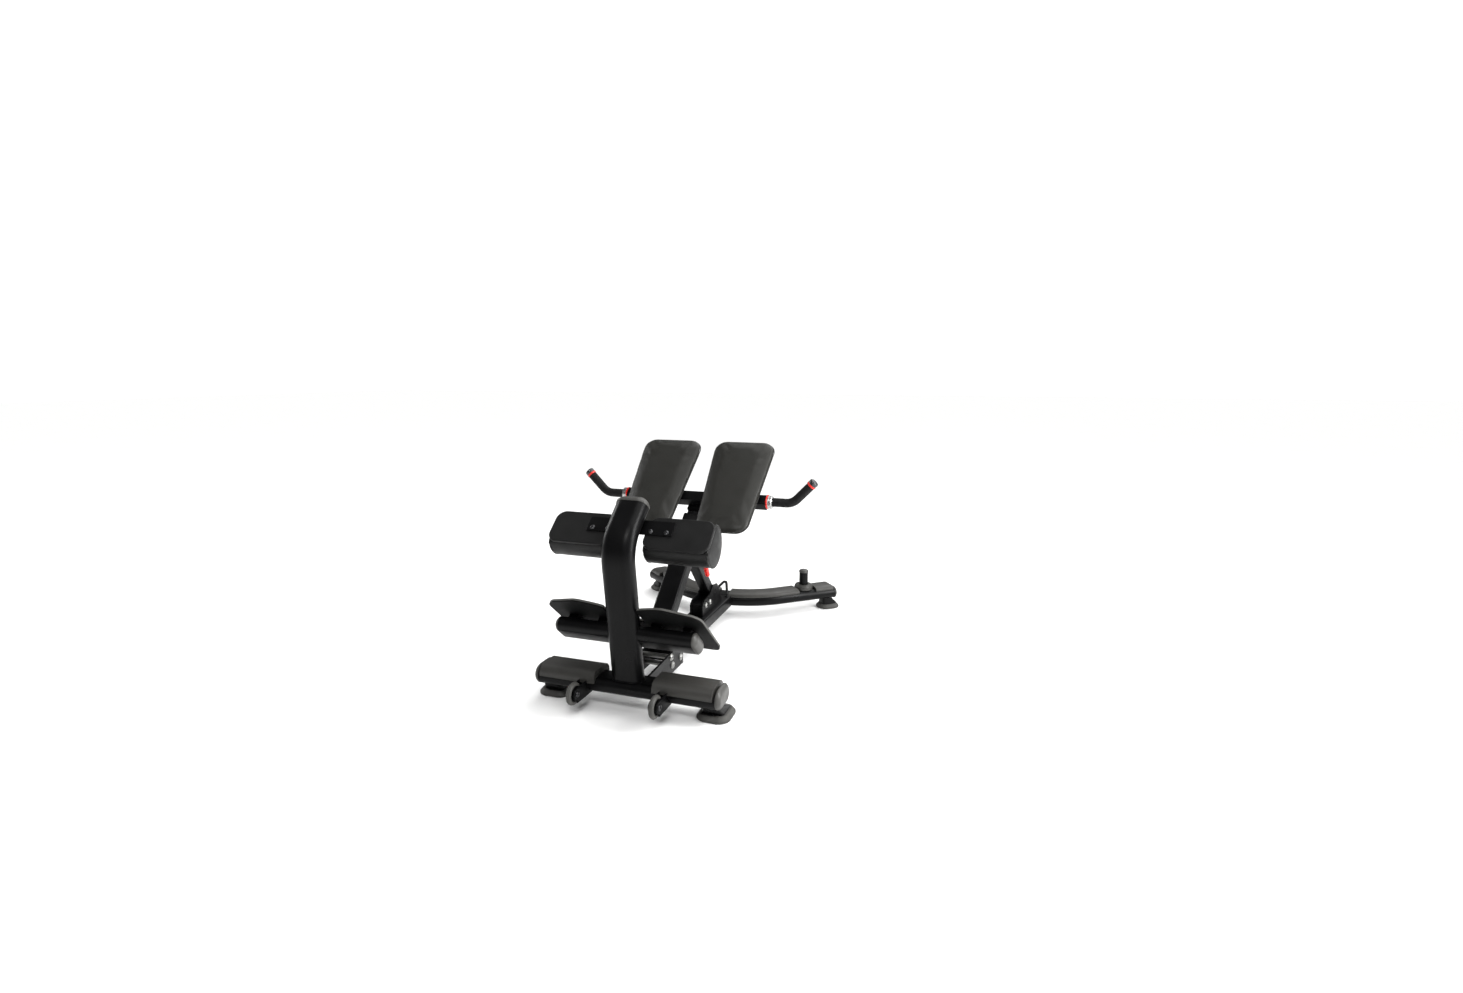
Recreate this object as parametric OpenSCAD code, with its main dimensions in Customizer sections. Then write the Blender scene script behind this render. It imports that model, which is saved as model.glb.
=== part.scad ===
// Roman chair (45 degree back-extension bench), a free-standing gym machine.
// Frame: +X to the user's right, +Y the way the user faces, +Z up.
// Origin: middle of the footprint, on the floor. Millimetres.

/* [Frame tubes] */
// Long side of the flat-oval frame tube
tube_w = 100; // [80:1:110]
// Short side of the flat-oval frame tube
tube_h = 50; // [40:1:55]
// Wall of every steel tube
wall = 3; // [2:0.5:4]
// Height of the centre line of the floor tubes
tube_z = 77; // [70:1:85]
// Long side of the upright's oval tube
upright_w = 110; // [100:1:120]
// Short side of the upright's oval tube
upright_d = 64; // [50:1:70]

/* [Footprint] */
// Half length of the rear crossbar tube
rear_half = 315; // [280:1:340]
// Y of the rear crossbar centre line
rear_y = -549.4; // [-570:0.2:-540]
// Y of the front crossbar centre line, on the middle plane
front_y = 399.6; // [370:0.2:410]
// Bend radius of the front crossbar
front_bend_r = 358; // [320:1:400]
// Sweep angle of each front leg
front_sweep = 40; // [30:1:45]
// Straight length of each front leg after the bend
front_leg = 272; // [240:1:300]

/* [Seat post] */
// Lean of the seat post above the floor, in degrees
lean = 42; // [38:1:46]
// Width of the outer post tube
post_w = 78; // [74:1:84]
// Depth of the outer post tube
post_d = 54; // [50:1:60]
// Length of the outer post tube
post_len = 516; // [480:1:540]
// How far the pad carriage can rise
slide_travel = 150; // [100:25:150]

/* [Pads] */
// Width of a thigh pad at its top end
pad_w = 254; // [220:1:260]
// Length of a thigh pad
pad_len = 436; // [380:1:440]
// Thickness of a thigh pad, without its board
pad_t = 33; // [30:1:45]
// Gap between the two thigh pads at the top
pad_gap = 60; // [50:1:80]
// Length of one ankle pad
ankle_len = 233; // [200:1:250]

/* [Foot plate] */
// Half width of the foot plate
plate_half = 270; // [240:1:285]
// Length of the foot plate down its slope
plate_len = 296; // [260:1:310]
// Slope of the foot plate, in degrees
plate_slope = 42; // [38:1:46]

/* [Wheels] */
// Outer diameter of a transport wheel
wheel_d = 75; // [65:1:80]
// Width of a transport wheel
wheel_w = 18; // [14:1:22]

/* [Hidden] */
$fn = 64;

gap = 0.3;                          // air left between curved faces that meet
frame_black = "#141414";
rubber_grey = "#45453f";
vinyl = "#24241f";
accent_red = "#d01810";

// ---- derived places -------------------------------------------------------
cover_in = 103;                     // inner end of a rear cover
cover_out = 307;                    // outer end of a rear cover
cover_top_z = 125;
cap_t = 17;                         // how far an end cap stands off the crossbar
foot_x = 289;                       // rear rubber foot
foot_y = rear_y + 36;
foot_t = 20;                        // thickness of a rubber foot

upright_lean = 6.8;                 // the lower upright leans back
bend_y = -610.4;                      // where the two upright centre lines meet
bend_z = 562;
upright_bend_r = 130;
upright_top = 153;                  // from that point to the top end

wheel_x = 143;
wheel_y = -663.4;
wheel_z = 76;
axle_d = 12;
fork_t = 5;

plate_y = -593.4;                     // foot plate: a point on its rear top edge
plate_z = 358;
tread_t = 9;
steel_t = 4;
bar_s = 104;                        // foot bar, measured down the slope
bar_n = -52;
foot_bar_half = 236;

ankle_y = -490.4;                     // centre of the ankle pads' round side
ankle_z = 553;
ankle_r = 70;
ankle_in = 53;
ankle_plate_t = 4;                  // steel plate between the boards and the upright
board_t = 12;                       // every pad's backing board
ankle_back = (ankle_y - bend_y) * sin(lean) + (bend_z - ankle_z) * cos(lean)
           - upright_d / 2 - ankle_plate_t;
ankle_flat = ankle_back - board_t;

bracket_x = 50;                     // inner face of the rear bracket plates
bracket_t = 8;
spine_half = 50;
spine_z = 79;
spine_rear = -288.4;

post_y = -359.4;                      // foot of the post centre line
post_z = 140;
post_start = 20;
slide_w = 68;
slide_d = 44;
slide_start = 300;
slide_end = 641;
collar_len = 38;
collar_at = post_start + post_len - 12;
strut_t = 428;                      // where the strut meets the post
strut_w = 44;
strut_foot = 113.6;                   // middle of the strut's foot on the spine

beam_t = 617;                       // pad beam, along the post
beam_n = 55;                        // and above its centre line
beam_s = 45;
beam_half = 292;
pad_mid = 658;                      // middle of the thigh pads, along the post
pad_base = beam_n + beam_s / 2;

grip_d = 34;
handle_d = 28;
handle_reach = 76;                  // straight part of a handle, after its collar
handle_bend_r = 60;
handle_rise = 46;                   // degrees
handle_tip = 84;

lock_t = 484;
lock_d = 10;
lock_nose = (post_d - slide_d) / 2 - gap;  // its nose stops at the slide tube
hole_pitch = 25;
lever_t = 438;                      // lever pivot, on the side of the strut
lever_n = -76;
lever_x = 42;
lever_thick = 6;
lock_cross = -lever_n - post_d / 2;  // the cross pin, level with the lever's pivot
lever_hang = 15;                    // tilt of the hanging arm from the post's normal

peg_x = 330;
peg_y = front_y + front_bend_r * (1 - cos(front_sweep))
      + (peg_x - front_bend_r * sin(front_sweep)) * tan(front_sweep);
front_foot_x = 428;
front_foot_y = front_y + front_bend_r * (1 - cos(front_sweep))
             + (front_foot_x - front_bend_r * sin(front_sweep)) * tan(front_sweep);

// ---- shared shapes --------------------------------------------------------
module both() {
    children();
    mirror([1, 0, 0]) children();
}

// Flat oval, long side along the first axis.
module oval2d(w, h) {
    square([w - h, h], center = true);
    for (s = [-1, 1]) translate([s * (w - h) / 2, 0]) circle(d = h);
}

// The same oval with flats round its ends, for tubes that bend.
module bent2d(w, h) {
    n = 10;
    polygon([
        for (k = [0 : n]) let (a = -90 + 180 * k / n) [(w - h) / 2 + h / 2 * cos(a), h / 2 * sin(a)],
        for (k = [0 : n]) let (a = 90 + 180 * k / n) [(h - w) / 2 + h / 2 * cos(a), h / 2 * sin(a)],
    ]);
}

// Wall of the bent frame tube.
module bent_tube2d(w = tube_w, h = tube_h) {
    difference() {
        bent2d(w, h);
        bent2d(w - 2 * wall, h - 2 * wall);
    }
}

module round_rect2d(w, h, r) {
    square([w - 2 * r, h], center = true);
    square([w, h - 2 * r], center = true);
    for (x = [-1, 1], y = [-1, 1])
        translate([x * (w / 2 - r), y * (h / 2 - r)]) circle(r = r);
}

// Solid bar along X, from x0 to x1, with a 2-D profile drawn in Y and Z.
module along_x(x0, x1) {
    translate([x0, 0, 0]) rotate([90, 0, 90]) linear_extrude(x1 - x0) children();
}

// The post's own frame: Y runs up the post, Z stands off its upper face.
module on_post() {
    translate([0, post_y, post_z]) rotate([lean, 0, 0]) children();
}

// The foot plate's own frame: Y runs down the slope, Z stands off the tread.
module on_plate() {
    translate([0, plate_y, plate_z]) rotate([-plate_slope, 0, 0]) children();
}

// The upper upright's own frame: Y runs up the tube, Z stands off its rear face.
module on_upright_top() {
    translate([0, bend_y, bend_z]) rotate([lean, 0, 0]) children();
}

// A bolt along X with a domed head at +x and a nut at -x.
module cross_bolt(half, d) {
    rotate([0, 90, 0]) cylinder(d = d, h = 2 * half, center = true);
    translate([half, 0, 0]) rotate([0, 90, 0]) cylinder(d1 = 1.9 * d, d2 = 1.2 * d, h = 0.55 * d);
    translate([-half - 0.8 * d, 0, 0]) rotate([0, 90, 0]) cylinder(d = 1.75 * d, h = 0.8 * d, $fn = 6);
}

// A bolt along Z, head upwards at z = 0.
module set_bolt(len, d) {
    translate([0, 0, -len]) cylinder(d = d, h = len);
    cylinder(d1 = 1.9 * d, d2 = 1.3 * d, h = 0.5 * d);
}

// ---- rear crossbar --------------------------------------------------------
module bar_section(grow = 0) {
    translate([rear_y, tube_z]) oval2d(tube_w + grow, tube_h + grow);
}

module rear_crossbar() {
    color(frame_black)
        difference() {
            along_x(-rear_half, rear_half) bar_section();
            along_x(-rear_half - 1, rear_half + 1) bar_section(-2 * wall);
        }
}

module rear_cover(side) {
    color(rubber_grey)
        mirror([side < 0 ? 1 : 0, 0, 0])
            difference() {
                along_x(cover_in, cover_out)
                    intersection() {
                        translate([rear_y, cover_top_z - 30]) oval2d(tube_w + 10, 60);
                        translate([rear_y - tube_w, 88]) square([2 * tube_w, 60]);
                    }
                along_x(cover_in - 1, cover_out + 1) bar_section(2 * gap);
            }
}

module rear_end_caps() {
    color(rubber_grey)
        both() {
            hull() {
                along_x(rear_half, rear_half + 6)
                    translate([rear_y, tube_z + 8]) oval2d(110, 68, $fn = 32);
                along_x(rear_half + cap_t - 1, rear_half + cap_t)
                    translate([rear_y, tube_z + 8]) oval2d(88, 46, $fn = 32);
            }
            along_x(rear_half - 20, rear_half) bar_section(-2 * wall - 1);
        }
}

// ---- feet -----------------------------------------------------------------
module foot_pad(w, l) {
    hull() {
        translate([0, 0, 0]) linear_extrude(8) round_rect2d(w, l, 38, $fn = 32);
        translate([0, 0, foot_t - 1]) linear_extrude(1) round_rect2d(w - 20, l - 20, 30, $fn = 32);
    }
}

module front_foot_place() {
    translate([front_foot_x, front_foot_y, 0]) rotate(front_sweep) children();
}

module rubber_feet() {
    color(rubber_grey)
        both() {
            translate([foot_x, foot_y, 0]) foot_pad(114, 122);
            front_foot_place() foot_pad(104, 88);
        }
}

module foot_stem(w, l, lean_x, lean_y) {
    hull() {
        translate([0, 0, foot_t]) linear_extrude(4) round_rect2d(w, l, 12, $fn = 24);
        translate([lean_x, lean_y, tube_z - tube_h / 2 - 4.3])
            linear_extrude(4) round_rect2d(w - 26, 46, 8, $fn = 24);
    }
}

module foot_brackets() {
    color(frame_black)
        both() {
            translate([foot_x, foot_y, 0]) foot_stem(76, 80, 0, rear_y - foot_y);
            front_foot_place() foot_stem(72, 56, -11, 0);
        }
}

// ---- upright --------------------------------------------------------------
// The bent centre line: lower leg, bend and upper leg.
module upright() {
    turn = 90 + upright_lean - lean;
    tangent = upright_bend_r * tan(turn / 2);
    low = (bend_z - tube_z) / cos(upright_lean);
    color(frame_black)
        difference() {
            translate([0, bend_y, bend_z]) rotate([upright_lean, 0, 0])
                translate([0, upright_bend_r, -tangent]) rotate([90, 0, -90]) {
                    rotate_extrude(angle = turn) upright_section();
                    rotate([90, 0, 0]) linear_extrude(low - tangent) upright_section();
                    rotate(turn) rotate([-90, 0, 0])
                        linear_extrude(upright_top - tangent) upright_section();
                }
            translate([-100, rear_y - 200, 0]) cube([200, 300, tube_z + tube_h / 2 + 0.1]);
        }
}

// The upright's section, one bend radius out from the middle of its bend.
module upright_section() {
    translate([upright_bend_r, 0]) rotate(90) bent_tube2d(upright_w, upright_d);
}

module upright_cap() {
    color(rubber_grey)
        on_upright_top()
            rotate([-90, 0, 0]) {
                hull() {
                    translate([0, 0, upright_top])
                        linear_extrude(8) oval2d(upright_w + 4, upright_d + 4, $fn = 32);
                    translate([0, 0, upright_top + 21])
                        linear_extrude(1) oval2d(upright_w - 16, upright_d - 16, $fn = 32);
                    translate([0, 0, upright_top + 31])
                        linear_extrude(1) oval2d(upright_w - 50, upright_d - 44, $fn = 32);
                }
                translate([0, 0, upright_top - 20])
                    linear_extrude(20) oval2d(upright_w - 2 * wall - 1, upright_d - 2 * wall - 1);
            }
}

// ---- transport wheels -----------------------------------------------------
module fork_plate2d() {
    difference() {
        union() {
            translate([wheel_y, wheel_z]) circle(r = 20);
            translate([wheel_y, wheel_z - 20]) square([110, 40]);
            translate([wheel_y, 46]) square([114, 30]);
        }
        translate([wheel_y - 30, 40]) square([30, 16]);
        translate([rear_y - 55.5, 87.7]) square([200, 60]);
        bar_section(2 * gap);
        translate([rear_y + 20, 40]) square([100, 90]);
        translate([wheel_y, wheel_z]) circle(d = axle_d + 0.1);
    }
}

module wheel_forks() {
    color(frame_black)
        both()
            for (side = [-1, 1])
                translate([wheel_x + side * (wheel_w / 2 + 1.5 + fork_t / 2), 0, 0])
                    along_x(-fork_t / 2, fork_t / 2) fork_plate2d();
}

module wheel_axles() {
    half = wheel_w / 2 + 1.5 + fork_t;
    color("silver")
        both()
            translate([wheel_x, wheel_y, wheel_z]) {
                rotate([0, 90, 0]) cylinder(d = axle_d, h = 2 * half, center = true);
                for (side = [-1, 1])
                    translate([side * (half + 2), 0, 0])
                        rotate([0, 90, 0]) cylinder(d = 20, h = 4, center = true);
            }
}

module wheel_hub(side) {
    color("#202020")
        translate([side * wheel_x, wheel_y, wheel_z])
            rotate([0, 90, 0])
                rotate_extrude()
                    polygon([
                        [axle_d / 2 + 0.05, -10], [12, -10], [12, -4], [24, -4], [24, -7],
                        [26, -7], [26, 7], [24, 7], [24, 4], [12, 4], [12, 10],
                        [axle_d / 2 + 0.05, 10],
                    ]);
}

module tyre(side) {
    r = wheel_w / 2;
    color(rubber_grey)
        translate([side * wheel_x, wheel_y, wheel_z])
            rotate([0, 90, 0])
                rotate_extrude()
                    difference() {
                        union() {
                            translate([wheel_d / 2 - r, 0]) circle(r = r);
                            translate([26, -r]) square([wheel_d / 2 - r - 26, 2 * r]);
                        }
                        translate([0, -20]) square([26, 40]);
                    }
}

// ---- foot plate -----------------------------------------------------------
// Outline in the plate's frame: two lobes at the rear edge, round corners, and a
// notch that takes the upright.
module plate2d() {
    r = 48;
    lobe = 60;
    difference() {
        union() {
            translate([-plate_half, 40]) square([2 * plate_half, plate_len - 100]);
            translate([-plate_half + 24, plate_len - 84]) square([2 * plate_half - 48, 48]);
            for (s = [-1, 1]) {
                translate([s * (plate_half - 24), plate_len - 60]) circle(r = 24);
                hull() {
                    translate([s * (plate_half - r), r - 12]) circle(r = r);
                    translate([s * 150, lobe - 36]) circle(r = lobe);
                    translate([s * 40, 50]) circle(r = 60);
                }
            }
        }
        translate([-upright_w / 2 - 3, -60]) square([upright_w + 6, 134]);
    }
}

module foot_plate() {
    color(frame_black)
        on_plate()
            translate([0, 0, -tread_t - steel_t]) linear_extrude(steel_t) plate2d($fn = 48);
}

module foot_tread() {
    color(rubber_grey)
        on_plate()
            translate([0, 0, -tread_t]) linear_extrude(tread_t) plate2d($fn = 48);
}

module foot_bar() {
    color(frame_black)
        on_plate()
            both() {
                difference() {
                    along_x(upright_w / 2 - 6, foot_bar_half)
                        translate([bar_s, bar_n]) oval2d(tube_w, tube_h);
                    along_x(upright_w / 2 - 7, foot_bar_half + 1)
                        translate([bar_s, bar_n]) oval2d(tube_w - 2 * wall, tube_h - 2 * wall);
                }
                for (x = [80, 190])
                    along_x(x, x + 30)
                        translate([bar_s - 24, bar_n + tube_h / 2])
                            square([48, -tread_t - steel_t - bar_n - tube_h / 2]);
            }
}

module foot_bar_caps() {
    color(rubber_grey)
        on_plate()
            both() {
                hull() {
                    along_x(foot_bar_half, foot_bar_half + 4)
                        translate([bar_s, bar_n]) oval2d(tube_w, tube_h, $fn = 32);
                    along_x(foot_bar_half + 15, foot_bar_half + 16)
                        translate([bar_s, bar_n]) oval2d(tube_w - 36, 10, $fn = 16);
                }
                along_x(foot_bar_half - 20, foot_bar_half)
                    translate([bar_s, bar_n]) oval2d(tube_w - 2 * wall - 1, tube_h - 2 * wall - 1);
            }
}

// ---- ankle pads -----------------------------------------------------------
module at_ankle() {
    translate([0, ankle_y, ankle_z]) rotate([lean, 0, 0]) children();
}

module ankle_bracket() {
    color(frame_black)
        at_ankle()
            translate([-150, -12, ankle_back]) cube([300, 54, ankle_plate_t]);
}

module ankle_boards() {
    color("#2b2620")
        at_ankle()
            both()
                translate([ankle_in + 4, -61, ankle_flat]) cube([ankle_len - 8, 122, board_t]);
}

module ankle_pad(side) {
    color("#101010")
        at_ankle()
            mirror([side < 0 ? 1 : 0, 0, 0])
                along_x(ankle_in + 4, ankle_in + ankle_len - 4) {
                    intersection() {
                        circle(r = ankle_r);
                        translate([-ankle_r, -ankle_r])
                            square([2 * ankle_r, ankle_r + ankle_flat - 0.1]);
                    }
                    translate([-62, ankle_flat - 16]) square([124, 15.9]);
                }
}

// ---- rear bracket and spine -----------------------------------------------
// Cross bolts through the rear bracket: two through spacers, two through the spine.
bracket_holes = [
    [spine_rear - 42, 63], [spine_rear - 53, 96], [spine_rear + 33, 63], [spine_rear + 33, 96],
];

module rear_bracket() {
    color(frame_black)
        both()
            difference() {
                along_x(bracket_x, bracket_x + bracket_t)
                    polygon([
                        [rear_y + 20, 60], [rear_y + 60, 34], [spine_rear + 56, 32],
                        [spine_rear + 56, 112], [spine_rear - 29, 109], [rear_y + 20, 102],
                    ]);
                along_x(0, 100) bar_section(2 * gap);
                for (p = bracket_holes)
                    translate([0, p[0], p[1]]) rotate([0, 90, 0]) cylinder(d = 12.2, h = 100);
            }
}

module bracket_spacers() {
    color("silver")
        for (p = [bracket_holes[0], bracket_holes[1]])
            translate([0, p[0], p[1]])
                rotate([0, 90, 0])
                    difference() {
                        cylinder(d = 18, h = 2 * bracket_x, center = true);
                        cylinder(d = 12.2, h = 2 * bracket_x + 2, center = true);
                    }
}

strut_holes = [[strut_foot - 24, 143], [strut_foot + 24, 143]];

module frame_bolts_m12() {
    color("silver") {
        for (p = bracket_holes)
            translate([0, p[0], p[1]]) cross_bolt(bracket_x + bracket_t, 12);
        for (p = strut_holes)
            translate([0, p[0], p[1]]) cross_bolt(strut_w / 2 + 6, 12);
    }
}

module frame_bolts_m8() {
    color("silver") {
        on_plate()
            both()
                for (x = [95, 205], s = [bar_s - 14, bar_s + 14])
                    translate([x, s, 0]) set_bolt(24, 8);
        at_ankle()
            both()
                for (x = [75, 130])
                    translate([x, 0, ankle_back + ankle_plate_t]) set_bolt(14, 8);
    }
}

// Along the front crossbar's centre line: two legs and the bend between them.
module front_legs(start, len) {
    for (s = [-1, 1])
        translate([s * front_bend_r * sin(front_sweep),
                   front_y + front_bend_r * (1 - cos(front_sweep)), 0])
            rotate([0, 0, s > 0 ? front_sweep : 180 - front_sweep])
                translate([start, 0, 0]) rotate([90, 0, 90]) linear_extrude(len) children();
}

module front_bend(angle) {
    translate([0, front_y + front_bend_r, 0])
        rotate(-90 - angle / 2)
            rotate_extrude(angle = angle)
                translate([front_bend_r, 0]) children();
}

module spine() {
    len = front_y - 20 - spine_rear;
    color(frame_black)
        difference() {
            translate([0, spine_rear, spine_z]) rotate([-90, 0, 0])
                linear_extrude(len)
                    difference() {
                        round_rect2d(2 * spine_half, tube_h, 6);
                        round_rect2d(2 * spine_half - 2 * wall, tube_h - 2 * wall, 3);
                    }
            translate([0, 0, tube_z]) front_bend(2 * front_sweep)
                square([tube_w + 2 * gap, tube_h + 2 * gap + 4], center = true);
            for (p = [bracket_holes[2], bracket_holes[3]])
                translate([0, p[0], p[1]])
                    rotate([0, 90, 0]) cylinder(d = 12.2, h = 3 * spine_half, center = true);
        }
}

// ---- seat post and strut --------------------------------------------------
module post_tube(w, d, r, len) {
    rotate([-90, 0, 0])
        linear_extrude(len)
            difference() {
                round_rect2d(w, d, r);
                round_rect2d(w - 2 * wall, d - 2 * wall, r - 2);
            }
}

module seat_post() {
    color(frame_black)
        on_post()
            difference() {
                translate([0, post_start, 0]) post_tube(post_w, post_d, 6, post_len);
                translate([0, lock_t, -post_d]) cylinder(d = lock_d + 1, h = post_d);
            }
}

module post_plug() {
    color("#202020")
        on_post() {
            translate([0, post_start - 4, 0]) rotate([-90, 0, 0])
                linear_extrude(4) round_rect2d(post_w, post_d, 6);
            translate([0, post_start, 0]) rotate([-90, 0, 0])
                linear_extrude(16) round_rect2d(post_w - 2 * wall - 1, post_d - 2 * wall - 1, 3);
        }
}

module post_gussets() {
    top = spine_z + tube_h / 2;
    color(frame_black)
        both()
            along_x(post_w / 2, post_w / 2 + 6)
                polygon([
                    [post_y + 75, top], [post_y + 212, top], [post_y + 147, 205],
                    [post_y + 82, 236], [post_y + 20, 178], [post_y + 32, 150],
                ]);
}

module post_collar() {
    color("#1c1c1c")
        on_post()
            translate([0, collar_at, 0]) rotate([-90, 0, 0])
                difference() {
                    union() {
                        linear_extrude(collar_len) round_rect2d(post_w + 10, post_d + 10, 9);
                        translate([0, 0, -60])
                            linear_extrude(60 + collar_len)
                                round_rect2d(post_w - 2 * wall - 0.4, post_d - 2 * wall - 0.4, 3.8);
                    }
                    translate([0, 0, -1]) linear_extrude(12)
                        difference() {
                            round_rect2d(post_w + 0.4, post_d + 0.4, 6);
                            round_rect2d(post_w - 2 * wall - 0.6, post_d - 2 * wall - 0.6, 3.5);
                        }
                    translate([0, 0, -61])
                        linear_extrude(62 + collar_len)
                            round_rect2d(slide_w + 0.6, slide_d + 0.6, 4.3);
                    rotate([90, 0, 0])
                        translate([0, lock_t - collar_at, -post_d]) cylinder(d = 14, h = post_d);
                }
}

module seat_strut() {
    top = spine_z + tube_h / 2;
    color(frame_black)
        difference() {
            union() {
                on_post()
                    translate([0, strut_t, -post_d / 2]) rotate([180, 0, 0])
                        linear_extrude(450) round_rect2d(strut_w, strut_w, 5);
                translate([-strut_w / 2, strut_foot - 56, top]) cube([strut_w, 150, 48]);
            }
            on_post()
                translate([0, strut_t, -post_d / 2 + 1]) rotate([180, 0, 0])
                    linear_extrude(460) round_rect2d(strut_w - 6, strut_w - 6, 2);
            translate([-100, -300, top - 400]) cube([200, 800, 400]);
            for (p = strut_holes)
                translate([0, p[0], p[1]])
                    rotate([0, 90, 0]) cylinder(d = 12.2, h = 100, center = true);
        }
}

module strut_bracket() {
    top = spine_z + tube_h / 2;
    color(frame_black)
        both()
            difference() {
                along_x(strut_w / 2, strut_w / 2 + 6)
                    polygon([
                        [strut_foot - 61, top], [strut_foot + 171, top], [strut_foot + 155, 140],
                        [strut_foot + 117, 196], [strut_foot + 69, 204], [strut_foot + 29, 176],
                        [strut_foot - 41, 168], [strut_foot - 61, 150],
                    ]);
                for (p = strut_holes)
                    translate([0, p[0], p[1]]) rotate([0, 90, 0]) cylinder(d = 12.2, h = 100);
            }
}

// ---- sliding carriage -----------------------------------------------------
module slide_post() {
    color("#3a3a3a")
        on_post()
            difference() {
                translate([0, slide_start, 0])
                    post_tube(slide_w, slide_d, 4, slide_end - slide_start);
                for (k = [0 : round(slide_travel / hole_pitch)])
                    translate([0, lock_t - k * hole_pitch, -slide_d])
                        cylinder(d = lock_d + 0.6, h = slide_d);
            }
}

module slide_glide() {
    color("#e8e8e0")
        on_post() {
            translate([0, slide_start - 12, 0]) rotate([-90, 0, 0])
                linear_extrude(12) round_rect2d(post_w - 2 * wall - 0.8, post_d - 2 * wall - 0.8, 3.6);
            translate([0, slide_start, 0]) rotate([-90, 0, 0])
                linear_extrude(14) round_rect2d(slide_w - 2 * wall - 1, slide_d - 2 * wall - 1, 1.5);
        }
}

module pad_beam() {
    color(frame_black)
        on_post() {
            difference() {
                along_x(-beam_half, beam_half)
                    translate([beam_t, beam_n]) round_rect2d(beam_s, beam_s, 6);
                along_x(-beam_half - 1, beam_half + 1)
                    translate([beam_t, beam_n]) round_rect2d(beam_s - 6, beam_s - 6, 3);
            }
            translate([-slide_w / 2, beam_t - 40, slide_d / 2])
                cube([slide_w, 80, beam_n - beam_s / 2 - slide_d / 2]);
        }
}

// Outline of the right thigh pad in the post's frame, drawn about its middle.
module pad2d(inset) {
    in_x = pad_gap / 2 + inset;
    out_x = pad_gap / 2 + pad_w - inset;
    half = pad_len / 2 - inset;
    r = 50 - inset / 2;
    hull()
        for (p = [[in_x + r, half - r], [out_x - r, half - r],
                  [in_x + 20 + r, r - half], [out_x - 22 - r, r - half]])
            translate(p) circle(r = r);
}

module thigh_pad(side) {
    color(vinyl)
        on_post()
            mirror([side < 0 ? 1 : 0, 0, 0])
                translate([0, pad_mid, pad_base + board_t])
                    hull() {
                        translate([0, 0, 0.2]) linear_extrude(1) pad2d(6, $fn = 32);
                        translate([0, 0, pad_t * 0.45]) linear_extrude(2) pad2d(0, $fn = 32);
                        translate([0, 0, pad_t - 1]) linear_extrude(1) pad2d(16, $fn = 32);
                    }
}

module pad_boards() {
    color("#2b2620")
        on_post()
            both()
                translate([0, pad_mid, pad_base])
                    linear_extrude(board_t) pad2d(9, $fn = 32);
}

module pad_bolts() {
    color("silver")
        on_post()
            both()
                for (x = [90, 210])
                    translate([x, beam_t, beam_n - beam_s / 2]) rotate([180, 0, 0])
                        set_bolt(beam_s + 8, 8);
}

// Handle axis at the end of the beam, X outwards, Y kept along world Y.
module at_handle() {
    on_post()
        translate([beam_half, beam_t, beam_n]) rotate([-lean, 0, 0])
            translate([0, 0, 3]) children();
}

// Ring of 24 flats, for the handles' bent tubes. A bore of 0 gives a disc.
module ring2d(d, bore) {
    difference() {
        polygon([for (k = [0 : 23]) d / 2 * [cos(15 * k), sin(15 * k)]]);
        if (bore > 0) polygon([for (k = [0 : 23]) bore / 2 * [cos(15 * k), sin(15 * k)]]);
    }
}

// Along a handle from x0: the straight part, the bend and the tip, with a given section.
module handle_path(x0, tip) {
    translate([x0, 0, 0]) rotate([0, 90, 0]) linear_extrude(handle_reach - x0) children();
    translate([handle_reach, 0, handle_bend_r])
        rotate([90, 0, 0]) rotate(-90)
            rotate_extrude(angle = handle_rise) translate([handle_bend_r, 0]) children();
    at_tip(0) linear_extrude(tip) children();
}

module handle_tubes() {
    color(frame_black)
        both()
            at_handle() handle_path(-26, handle_tip) ring2d(handle_d, handle_d - 6);
}

module handle_grips() {
    color("#0c0c0c")
        both()
            at_handle() handle_path(24, handle_tip - 12) ring2d(grip_d, handle_d + 0.6);
}

module handle_collars() {
    color("silver")
        both()
            at_handle()
                rotate([0, 90, 0])
                    difference() {
                        translate([0, 0, 6]) cylinder(d = 50, h = 17);
                        translate([0, 0, -1]) cylinder(d = handle_d + 0.2, h = 40);
                    }
}

module handle_rings() {
    color(accent_red)
        both()
            at_handle() {
                rotate([0, 90, 0])
                    difference() {
                        cylinder(d = 54, h = 6);
                        translate([0, 0, -1]) cylinder(d = handle_d + 0.2, h = 40);
                    }
                at_tip(handle_tip - 12)
                    difference() {
                        cylinder(d = 37, h = 8);
                        translate([0, 0, -1]) cylinder(d = handle_d + 0.2, h = 20);
                    }
            }
}

module at_tip(along) {
    translate([handle_reach + handle_bend_r * sin(handle_rise), 0,
               handle_bend_r * (1 - cos(handle_rise))])
        rotate([0, 90 - handle_rise, 0]) translate([0, 0, along]) children();
}

module handle_caps() {
    color("silver")
        both()
            at_handle()
                at_tip(handle_tip) {
                    cylinder(d = 36, h = 8);
                    translate([0, 0, 8]) cylinder(d1 = 36, d2 = 26, h = 5);
                }
}

// ---- height lock ----------------------------------------------------------
// The pin's own frame: Z points away from the post, from its lower face.
module at_lock() {
    on_post() translate([0, lock_t, -post_d / 2]) rotate([180, 0, 0]) children();
}

module lock_housing() {
    color("#202020")
        at_lock()
            difference() {
                union() {
                    cylinder(d = 24, h = 36);
                    translate([-16, -16, 0]) cube([32, 32, 5]);
                }
                translate([0, 0, -1]) cylinder(d = 18, h = 32);
                cylinder(d = lock_d + 0.1, h = 60);
            }
}

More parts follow.
